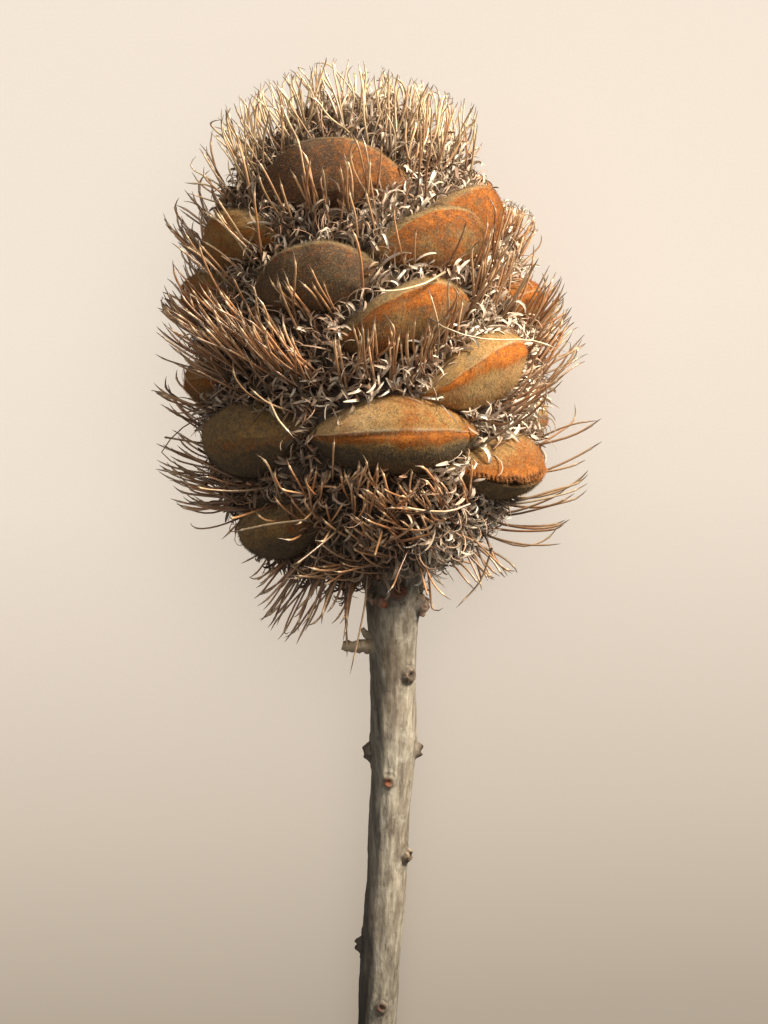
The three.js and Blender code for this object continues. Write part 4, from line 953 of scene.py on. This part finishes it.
def style_paths(p, d, L, bend, hook, hook_dir, wob, g):
    """Centre lines: p roots, d first directions, bend (N,3) added along the way, a hooked tip past the node."""
    N = len(p)
    f_ = FRACTION
    q = f_[None, :, None]
    dirs = unit(d[:, None] + bend[:, None] * q ** 1.3 + wob[:, None] * np.sin(q * 5.2))
    past = np.clip((f_ - 0.77) / 0.23, 0, 1)[None, :, None] ** 0.8
    dirs = unit(dirs + hook_dir[:, None] * hook[:, None, None] * past)
    step = np.diff(f_)[None, :, None] * L[:, None, None]
    mid = unit(dirs[:, :-1] + dirs[:, 1:])
    P = np.concatenate([p[:, None], p[:, None] + np.cumsum(mid * step, 1)], 1)
    for _ in range(2):
        low = height(P)
        P = P + np.maximum(0.50 - low, 0)[..., None] * FLOOR_N
    return P


all_paths, all_tone, all_straw, all_girth, all_names = [], [], [], [], []
_seen_root = []


def keep_styles(P, tone, straw, girth, s, phi):
    # the foot of each style goes down into the core, but for the loose ones that lie on the mat
    foot = on_cone(s, phi, -0.9)[0]
    rooted = np.linalg.norm(P[:, 0] - foot, axis=1) < 4.5
    P = P.copy()
    P[rooted, 0] = foot[rooted]
    all_paths.append(P); all_tone.append(tone); all_straw.append(straw); all_girth.append(girth); all_names.append(patch_of(s, phi))


def general_styles(count, seed, weight, s_range=(3, 116.5), tilt_add=0.0, length=(17, 25), wild=1.0):
    """Styles over the mat by its own rules: upswept on the cone, drooping at its neck."""
    g = np.random.default_rng(seed)
    M = int(count * 6)
    s = s_range[0] + g.random(M) * (s_range[1] - s_range[0])
    phi = g.random(M) * 2 * np.pi - np.pi
    k = g.random(M) < np.clip((radius(s) + 3) / 41, 0, 1) * weight(s, phi)
    s, phi = s[k], phi[k]
    root, n, t, up = on_cone(s, phi, 1.2 + 0.8 * g.random(len(s)))
    ok = ~in_follicle(root, 0.2) & (np.hypot(root[:, 0] - 2.4, root[:, 2]) > np.where(s < 8, 11.5, 0))
    s, phi, root, t = s[ok], phi[ok], root[ok], t[ok]
    out = np.sin(phi)[:, None] * E_R + np.cos(phi)[:, None] * E_W
    N = len(s)
    lo, hi = length
    corner = np.clip((30 - s) / 8, 0, 1) * np.clip((phi / RAD - 38) / 14, 0, 1) * (phi < 140 * RAD)
    L = (lo + (hi - lo) * g.random(N)) * np.interp(s, [0, 20, 100, 108, 117], [1.0, 1.0, 1.0, 0.84, 0.66])
    sway = noise(root, 16.0, 2) * 0.34 + g.normal(size=N) * (0.15 + 0.07 * wild)
    lean0 = np.interp(s, *ROOT_TILT) + tilt_add + 15 * noise(root, 13.0, 3) + g.normal(size=N) * (8 + 3 * wild)
    curl = np.interp(s, [0, 14, 30, 60, 95, 117], [0.10, 0.35, 0.55, 0.42, 0.16, 0.05]) * (0.4 + 1.2 * g.random(N))
    bend = E_A[None] * curl[:, None] + g.normal(size=(N, 3)) * (0.08 + 0.10 * wild)
    hook = 0.35 + (0.9 + 0.5 * wild) * g.random(N)
    hook_dir = unit(g.normal(size=(N, 3)) + 0.5 * E_A)
    wob = g.normal(size=(N, 3)) * (0.05 + 0.05 * wild)
    done = np.zeros(N, bool)
    final = np.zeros((N, len(FRACTION), 3))
    for add in (0, -14, 12, -28, 24, -45, 38):
        a = np.clip(lean0 + add, -80, 89) * RAD
        d = unit(out * np.cos(a)[:, None] + E_A[None] * np.sin(a)[:, None] + t * sway[:, None])
        P = style_paths(root, d, L, bend, hook, hook_dir, wob, g)
        hit = in_follicle(P.reshape(-1, 3), 0.25).reshape(N, -1).any(1)
        new = ~done & ~hit
        final[new] = P[new]
        done |= new
    final, inside = fitted(final)
    done &= inside
    # few of them end at the lower right, or before the large follicle on the left
    tip_px = pixel(final[:, -1])
    thin = (tip_px[:, 0] > 492) & (tip_px[:, 1] > 452) & (tip_px[:, 1] < 566) & (final[:, -1, 2] > -45)
    thin |= (tip_px[:, 0] < 216) & (tip_px[:, 1] > 396) & (tip_px[:, 1] < 462) & (final[:, -1, 2] > -30)
    done &= ~(thin & (g.random(N) < 0.80)) & ~(g.random(N) < 0.7 * corner)
    s, phi, final, L = s[done][:count], phi[done][:count], final[done][:count], L[done][:count]
    N = len(s)
    straw = np.clip(np.interp(s, [84, 98], [0.10, 0.72]) + g.normal(size=N) * 0.24, 0, 1)
    tone = np.clip(np.interp(s, [84, 98], [0.50, 0.60]) + g.normal(size=N) * 0.22, 0, 1)
    keep_styles(final, tone, straw, (0.72 + 0.34 * g.random(N)) * np.interp(s, [85, 100], [1.0, 0.92]), s, phi)
    return N


def group(seed, count, line, jitter, angle, spread, length_px, out=0.35, bend=(0, 0), straw=0.1, tone=0.5, hook=0.5, lift=1.6, wob=0.05):
    """Styles by where the photograph shows them: roots along a line of pixels, angle in the picture (90 is up), out towards the viewer."""
    g = np.random.default_rng(seed)
    s_, ph_, d_, L_ = [], [], [], []
    for i in range(count):
        k = (i + g.random()) / count
        x = line[0] + (line[2] - line[0]) * k + g.normal() * jitter
        y = line[1] + (line[3] - line[1]) * k + g.normal() * jitter
        s, phi = root_at(x, y)
        a = (angle[0] + (angle[1] - angle[0]) * k + g.normal() * spread) * RAD
        o = out + g.normal() * 0.12
        s_.append(s); ph_.append(phi); d_.append((math.cos(a), math.sin(a), o))
        L_.append((length_px[0] + (length_px[1] - length_px[0]) * g.random()) * PX)
    s_, ph_, d_, L_ = np.array(s_), np.array(ph_), unit(np.array(d_)), np.array(L_)
    root, n, t, up = on_cone(s_, ph_, lift)
    # they leave the mat: never more than a little into it
    into = (d_ * n).sum(1)
    d_ = unit(d_ + n * np.maximum(0.18 - into, 0)[:, None])
    N = len(s_)
    bend_v = np.zeros((N, 3)); bend_v[:, 0] = bend[0]; bend_v[:, 1] = bend[1]
    bend_v = bend_v * (0.4 + 1.2 * g.random(N))[:, None] + g.normal(size=(N, 3)) * 0.13
    hk = hook * (0.4 + g.random(N))
    hook_dir = unit(g.normal(size=(N, 3)) + 0.8 * E_A)
    wv = g.normal(size=(N, 3)) * (wob + 0.045)
    done = np.zeros(N, bool)
    final = np.zeros((N, len(FRACTION), 3))
    for add in (0, 0.25, 0.5, 0.8, 1.2):
        d = unit(d_ + n * add)
        P = style_paths(root, d, L_, bend_v, hk, hook_dir, wv, g)
        hit = in_follicle(P[:, 1:].reshape(-1, 3), 0.15).reshape(N, -1).any(1)
        new = ~done & ~hit
        final[new] = P[new]
        done |= new
    final, inside = fitted(final, 5.0)
    done &= inside
    N = int(done.sum())
    keep_styles(final[done], np.clip(tone + g.normal(size=N) * 0.16, 0, 1), np.clip(straw + g.normal(size=N) * 0.12, 0, 1), 0.80 + 0.26 * g.random(N), s_[done], ph_[done])
    return N


def where_seen(s, phi):
    """How thickly the general styles stand: few on the side in the photograph, where the groups below are placed one by one."""
    p, n, _, _ = on_cone(s, phi, 2.0)
    seen = ((np.array([0, 0, CAMERA_W]) - p) * n).sum(-1) / CAMERA_W
    q = pixel(p)
    few = np.where((q[:, 1] > 470) & (q[:, 0] > 440), 0.015, 0.14)
    few = np.where((q[:, 1] > 530), 0.05, few)
    few = np.where((q[:, 1] < 215), 0.30, few)
    left = np.clip(1 - np.abs((s - 22) / 16) ** 4, 0, 1) * np.clip(1 - np.abs((phi / RAD + 96) / 40) ** 4, 0, 1)
    side = np.clip(1 - np.abs((s - 29) / 19) ** 4, 0, 1) * np.clip(1 - np.abs((phi / RAD - 92) / 46) ** 4, 0, 1)
    back = (0.80 - 0.76 * side - 0.50 * left) * (0.45 + 0.55 * (noise(p, 12.0, 1) > -0.15)) * np.interp(s, [0, 14, 30], [0.35, 0.55, 1.0])
    return few + (back - few) * np.clip((0.25 - seen) / 0.35, 0, 1)


placed = {}
placed["crown"] = general_styles(300, 1, lambda s, p: np.ones_like(s), (91.5, 116.8), length=(12, 25), wild=2.4)
placed["round"] = general_styles(720, 2, where_seen, (4, 95), length=(14, 25))
# tone paints light and shade on whole groups: low for those on the left, as painted shade, high for those at the low
# front, as painted light
GROUPS = [
    # seed, count, root line, jitter, angle, spread, length, keywords
    (21, 11, (276, 228, 372, 214), 4, (116, 88), 5, (60, 76), dict(out=0.55, straw=0.35, tone=0.6, hook=0.25)),
    (22, 6, (236, 262, 276, 256), 5, (140, 128), 5, (70, 90), dict(out=0.30, straw=0.55, tone=0.7, hook=0.2)),
    (23, 8, (214, 300, 246, 290), 5, (146, 132), 7, (60, 84), dict(out=0.25, straw=0.35, tone=0.55)),
    (24, 10, (300, 330, 345, 310), 6, (128, 112), 7, (52, 70), dict(out=0.5, straw=0.2, tone=0.55)),
    (25, 46, (238, 360, 330, 396), 8, (148, 128), 7, (72, 98), dict(out=0.35, bend=(0.05, 0.25), straw=0.12, tone=0.58, hook=0.35)),
    (26, 40, (212, 352, 300, 392), 9, (156, 134), 7, (66, 90), dict(out=0.30, bend=(0.05, 0.3), straw=0.10, tone=0.5, hook=0.4)),
    (27, 20, (205, 332, 262, 350), 8, (150, 138), 7, (56, 80), dict(out=0.25, bend=(0.05, 0.25), straw=0.15, tone=0.5, hook=0.4)),
    (28, 20, (340, 392, 432, 384), 4, (104, 84), 6, (56, 72), dict(out=0.6, straw=0.25, tone=0.62, hook=0.2, wob=0.03)),
    (29, 10, (432, 372, 448, 352), 6, (96, 78), 7, (50, 66), dict(out=0.55, straw=0.2, tone=0.55, hook=0.3)),
    (30, 14, (372, 250, 440, 262), 5, (98, 84), 6, (46, 62), dict(out=0.55, straw=0.25, tone=0.55, hook=0.25)),
    (31, 36, (462, 308, 506, 322), 8, (84, 62), 7, (66, 92), dict(out=0.35, bend=(0, 0.25), straw=0.25, tone=0.6, hook=0.35)),
    (32, 26, (484, 214, 512, 262), 7, (78, 66), 7, (50, 74), dict(out=0.2, straw=0.3, tone=0.6, hook=0.35)),
    (33, 40, (488, 398, 540, 330), 9, (44, 62), 8, (70, 98), dict(out=0.28, bend=(-0.05, 0.35), straw=0.2, tone=0.5, hook=0.4)),
    (34, 13, (482, 430, 530, 404), 8, (28, 46), 9, (64, 96), dict(out=0.30, bend=(0, 0.4), straw=0.2, tone=0.5, hook=0.4)),
    (35, 10, (500, 508, 538, 450), 10, (-4, 20), 9, (74, 100), dict(out=0.22, bend=(0, 0.55), straw=0.35, tone=0.5, hook=0.5)),
    (36, 7, (486, 540, 512, 516), 6, (-16, -4), 6, (70, 96), dict(out=0.25, bend=(0, 0.6), straw=0.3, tone=0.5, hook=0.5)),
    (37, 26, (218, 478, 262, 512), 7, (168, 176), 9, (58, 84), dict(out=0.12, bend=(0, 0.40), straw=0.1, tone=0.32, hook=0.5)),
    (38, 12, (212, 430, 232, 470), 6, (150, 165), 12, (50, 84), dict(out=0.12, bend=(0, 0.35), straw=0.1, tone=0.3, hook=0.5)),
    (39, 34, (384, 540, 462, 512), 9, (144, 112), 12, (48, 72), dict(out=0.9, bend=(-0.30, 0.15), straw=0.14, tone=0.88, hook=0.8, lift=2.8)),
    (40, 32, (286, 512, 384, 548), 10, (168, 20), 30, (48, 76), dict(out=0.95, bend=(0.1, 0.35), straw=0.14, tone=0.84, hook=0.9, lift=2.8)),
    (41, 28, (300, 498, 430, 506), 9, (10, 170), 22, (42, 66), dict(out=1.0, bend=(0.0, 0.3), straw=0.16, tone=0.86, hook=0.9, lift=2.8)),
    (42, 24, (282, 548, 336, 574), 6, (222, 252), 9, (64, 92), dict(out=0.15, bend=(-0.05, -0.10), straw=0.15, tone=0.42, hook=0.5)),
    (43, 22, (340, 566, 404, 558), 6, (206, 164), 12, (50, 76), dict(out=0.8, bend=(-0.1, 0.7), straw=0.18, tone=0.82, hook=0.7, lift=2.6)),
    (44, 10, (330, 560, 362, 572), 5, (236, 262), 8, (52, 78), dict(out=0.3, bend=(0, 0.1), straw=0.2, tone=0.45, hook=0.6)),
    (45, 7, (452, 556, 486, 548), 4, (-58, -36), 10, (46, 66), dict(out=0.25, bend=(0, -0.1), straw=0.4, tone=0.5, hook=0.6)),
    (46, 12, (210, 396, 232, 376), 6, (172, 150), 8, (46, 70), dict(out=0.1, bend=(0, 0.3), straw=0.1, tone=0.35, hook=0.5)),
    (47, 14, (520, 300, 536, 352), 6, (58, 48), 8, (54, 84), dict(out=0.1, bend=(0, 0.35), straw=0.2, tone=0.5, hook=0.4)),
    (48, 16, (196, 268, 214, 240), 6, (132, 118), 8, (44, 70), dict(out=0.1, bend=(0, 0.2), straw=0.3, tone=0.5, hook=0.4)),
]
for seed, count, line, jitter, angle, spread, length_px, kw in GROUPS:
    placed[seed] = group(seed, count, line, jitter, angle, spread, length_px, **kw)


def stray(points, girth=0.9, straw=0.7, tone=0.7):
    """One loose style, by the pixels it passes and its height over the cone's axis."""
    pts = np.array([[((x - 384) * PX) * (1 - w / CAMERA_W), ((512 - y) * PX) * (1 - w / CAMERA_W), w] for x, y, w in points])
    k = np.linspace(0, len(pts) - 1, 60)
    dense = np.stack([np.interp(k, np.arange(len(pts)), pts[:, i]) for i in range(3)], -1)
    for _ in range(3):
        dense[1:-1] = (dense[:-2] + dense[1:-1] * 2 + dense[2:]) / 4
    for _ in range(25):
        dense[1:-1] = (dense[:-2] + dense[1:-1] + dense[2:]) / 3
    step = np.concatenate([[0], np.cumsum(np.linalg.norm(np.diff(dense, axis=0), axis=1))])
    P = np.stack([np.interp(FRACTION * step[-1], step, dense[:, i]) for i in range(3)], -1)[None]
    s = np.array([(P[0, 0] - CONE_BASE) @ E_A])
    phi = np.array([math.atan2((P[0, 0] - CONE_BASE) @ E_R, P[0, 0, 2])])
    keep_styles(P, np.array([tone]), np.array([straw]), np.array([girth]), s, phi)


stray([(445, 272, 40), (425, 284, 46), (398, 291, 47), (370, 291, 46)], 0.9, 1.0, 0.95)
stray([(430, 318, 46), (450, 332, 48), (490, 341, 44), (530, 338, 36), (566, 352, 30)], 0.6, 1.0, 0.85)
stray([(470, 504, 42), (450, 512, 45), (425, 511, 46), (398, 506, 45)], 0.9, 0.8, 0.9)
# the strays on the left get a low tone, as painted shade
stray([(206, 372, 12), (186, 366, 9), (166, 360, 8), (155, 354, 9)], 0.7, 0.1, 0.3)
stray([(214, 398, 14), (192, 406, 10), (170, 402, 8), (153, 390, 8)], 0.7, 0.1, 0.3)
stray([(210, 404, 14), (190, 412, 11), (178, 414, 9), (160, 404, 8)], 0.7, 0.15, 0.35)
stray([(222, 412, 14), (190, 420, 10), (163, 446, 8), (160, 456, 8), (196, 474, 12)], 0.55, 0.1, 0.15)
stray([(368, 560, 18), (366, 600, 20), (358, 640, 18), (350, 674, 16)], 0.8, 0.4, 0.6)
stray([(492, 548, 16), (482, 580, 14), (470, 594, 12), (456, 608, 12)], 0.8, 0.4, 0.5)
stray([(268, 398, 38), (278, 420, 46), (294, 438, 47)], 0.8, 1.0, 0.85)
stray([(306, 520, 40), (270, 524, 37), (232, 532, 30)], 0.8, 0.7, 0.75)
stray([(437, 356, 44), (440, 330, 47), (434, 306, 47), (428, 288, 46)], 0.7, 0.5, 0.5)

P_ALL = np.concatenate(all_paths)
T_ALL, S_ALL, G_ALL, N_ALL = (np.concatenate(a) for a in (all_tone, all_straw, all_girth, all_names))
for i, name in enumerate(N_ALL):
    soups[name]["styles"].append(i)
print("styles", len(P_ALL), "bits", sum(len(x["bits"]) for x in soups.values()), placed)

for j, (name, has) in enumerate(sorted(soups.items())):
    s = Soup()
    b = np.array(has["bits"], int)
    w = np.array(has["styles"], int)
    if len(w):
        V_, F_, U_ = tubes(P_ALL[w], GIRTH[None] * G_ALL[w][:, None], 5, cells(len(w), 0, 0, 1, 0.5, 6.0), 400 + j)
        per = len(FRACTION) * 5
        s.add(V_, F_, U_, 0, along=np.tile(np.repeat(FRACTION, 5), len(w)), tone=np.repeat(T_ALL[w], per), straw=np.repeat(S_ALL[w], per))
    if len(b):
        P, B, W, trough, tone, tint, f_ = BITS
        V_, F_, U_ = ribbons(P[b], B[b], W[b], trough[b], cells(len(b), 0, 0.5, 1, 1, 3.0))
        s.add(V_, F_, U_, 1, along=np.tile(np.repeat(f_, 3), len(b)), tone=np.repeat(tone[b], len(f_) * 3), straw=np.repeat(tint[b], len(f_) * 3))
    own(s.build(name + "_tuft", [STYLE, BRACT]), name)

# ---------------------------------------------------------------- floor and light
scene = bpy.context.scene
floor_mesh = bpy.data.meshes.new("floor")
floor_mesh.from_pydata([(-4, -4, 0), (4, -4, 0), (4, 4, 0), (-4, 4, 0)], [], [(0, 1, 2, 3)])
floor_object = bpy.data.objects.new("floor", floor_mesh)
scene.collection.objects.link(floor_object)
m, nt, p = material("floor_paper")
k = Nodes(nt)
tc = k.new("ShaderNodeTexCoord")
sep = k.new("ShaderNodeSeparateXYZ")
k.link(tc.outputs["Object"], sep.inputs[0])
# painted light fall-off on the floor: lighter beyond the crown, darker towards the stem end and a little to the right
painted_falloff = k.span(k.math("ADD", sep.outputs["Y"], k.math("MULTIPLY", sep.outputs["X"], -0.05)), -0.16, 0.15)
c = k.ramp(painted_falloff, [(0.0, (0.355, 0.296, 0.232)), (0.168, (0.457, 0.387, 0.309)), (0.33, (0.640, 0.552, 0.459)), (0.50, (0.783, 0.686, 0.589)),
                (0.60, (0.860, 0.765, 0.660)), (0.756, (0.905, 0.808, 0.702)), (1.0, (0.905, 0.803, 0.697))])
n = k.noise(k.position(), 1400, 2, 0.5)
c = k.mix(k.span(n, 0.3, 0.7, 0.0, 0.05), c, (0.45, 0.40, 0.33))
k.link(c, p.inputs["Base Color"])
p.inputs["Roughness"].default_value = 0.95
p.inputs["Specular IOR Level"].default_value = 0.1
floor_mesh.materials.append(m)


def area_light(name, at, to, size, energy, colour):
    d = bpy.data.lights.new(name, "AREA")
    d.shape, d.size, d.energy, d.color = "DISK", size, energy, colour
    o = bpy.data.objects.new(name, d)
    scene.collection.objects.link(o)
    o.location = at
    o.rotation_mode = "QUATERNION"
    o.rotation_quaternion = (Vector(to) - Vector(at)).to_track_quat("-Z", "Y")
    return o


def link(light, what, state, shadows=False):
    """Light the floor alone, or all but the floor; or let the floor alone stop the light."""
    c_ = bpy.data.collections.new(light.name + ("_blockers" if shadows else "_receivers"))
    c_.objects.link(what)
    if shadows:
        light.light_linking.blocker_collection = c_
    else:
        light.light_linking.receiver_collection = c_
    for item in c_.collection_objects:
        item.light_linking.link_state = state


target = row(CONE_BASE + E_A * 55)
key_direction = LAY_R @ unit(np.array([0.67, 0.62, 0.41]))
key = area_light("key", target + key_direction * 0.60, target, 0.20, 10.8, (1.0, 0.935, 0.83))
fill = area_light("fill", target + LAY_R @ unit(np.array([-0.35, 0.25, 0.9])) * 1.2, target, 1.2, 3.6, (0.98, 0.98, 1.0))
wide = area_light("wide", (0.0, 0.0, 2.6), (0.0, 0.0, 0.0), 3.2, 66.4, (1.0, 0.985, 0.955))
near = area_light("near", (0.25, 0.25, 1.3), (0.0, 0.0, 0.0), 1.1, 2.0, (1.0, 0.985, 0.955))
link(key, floor_object, "EXCLUDE")
link(fill, floor_object, "EXCLUDE")
link(wide, floor_object, "INCLUDE")
link(wide, floor_object, "INCLUDE", True)
link(near, floor_object, "INCLUDE")
floor_object.visible_diffuse = False
floor_object.visible_glossy = False
world = bpy.data.worlds.new("world")
scene.world = world
world.use_nodes = True
world.node_tree.nodes["Background"].inputs[0].default_value = (0.95, 0.93, 0.90, 1)
world.node_tree.nodes["Background"].inputs[1].default_value = 0.23
scene.view_settings.view_transform = "Standard"
scene.view_settings.look = "None"
scene.view_settings.exposure = 0.0

print("triangles", sum(sum(len(q.vertices) - 2 for q in o.data.polygons) for o in pieces), "most", max(sum(len(q.vertices) - 2 for q in o.data.polygons) for o in pieces))
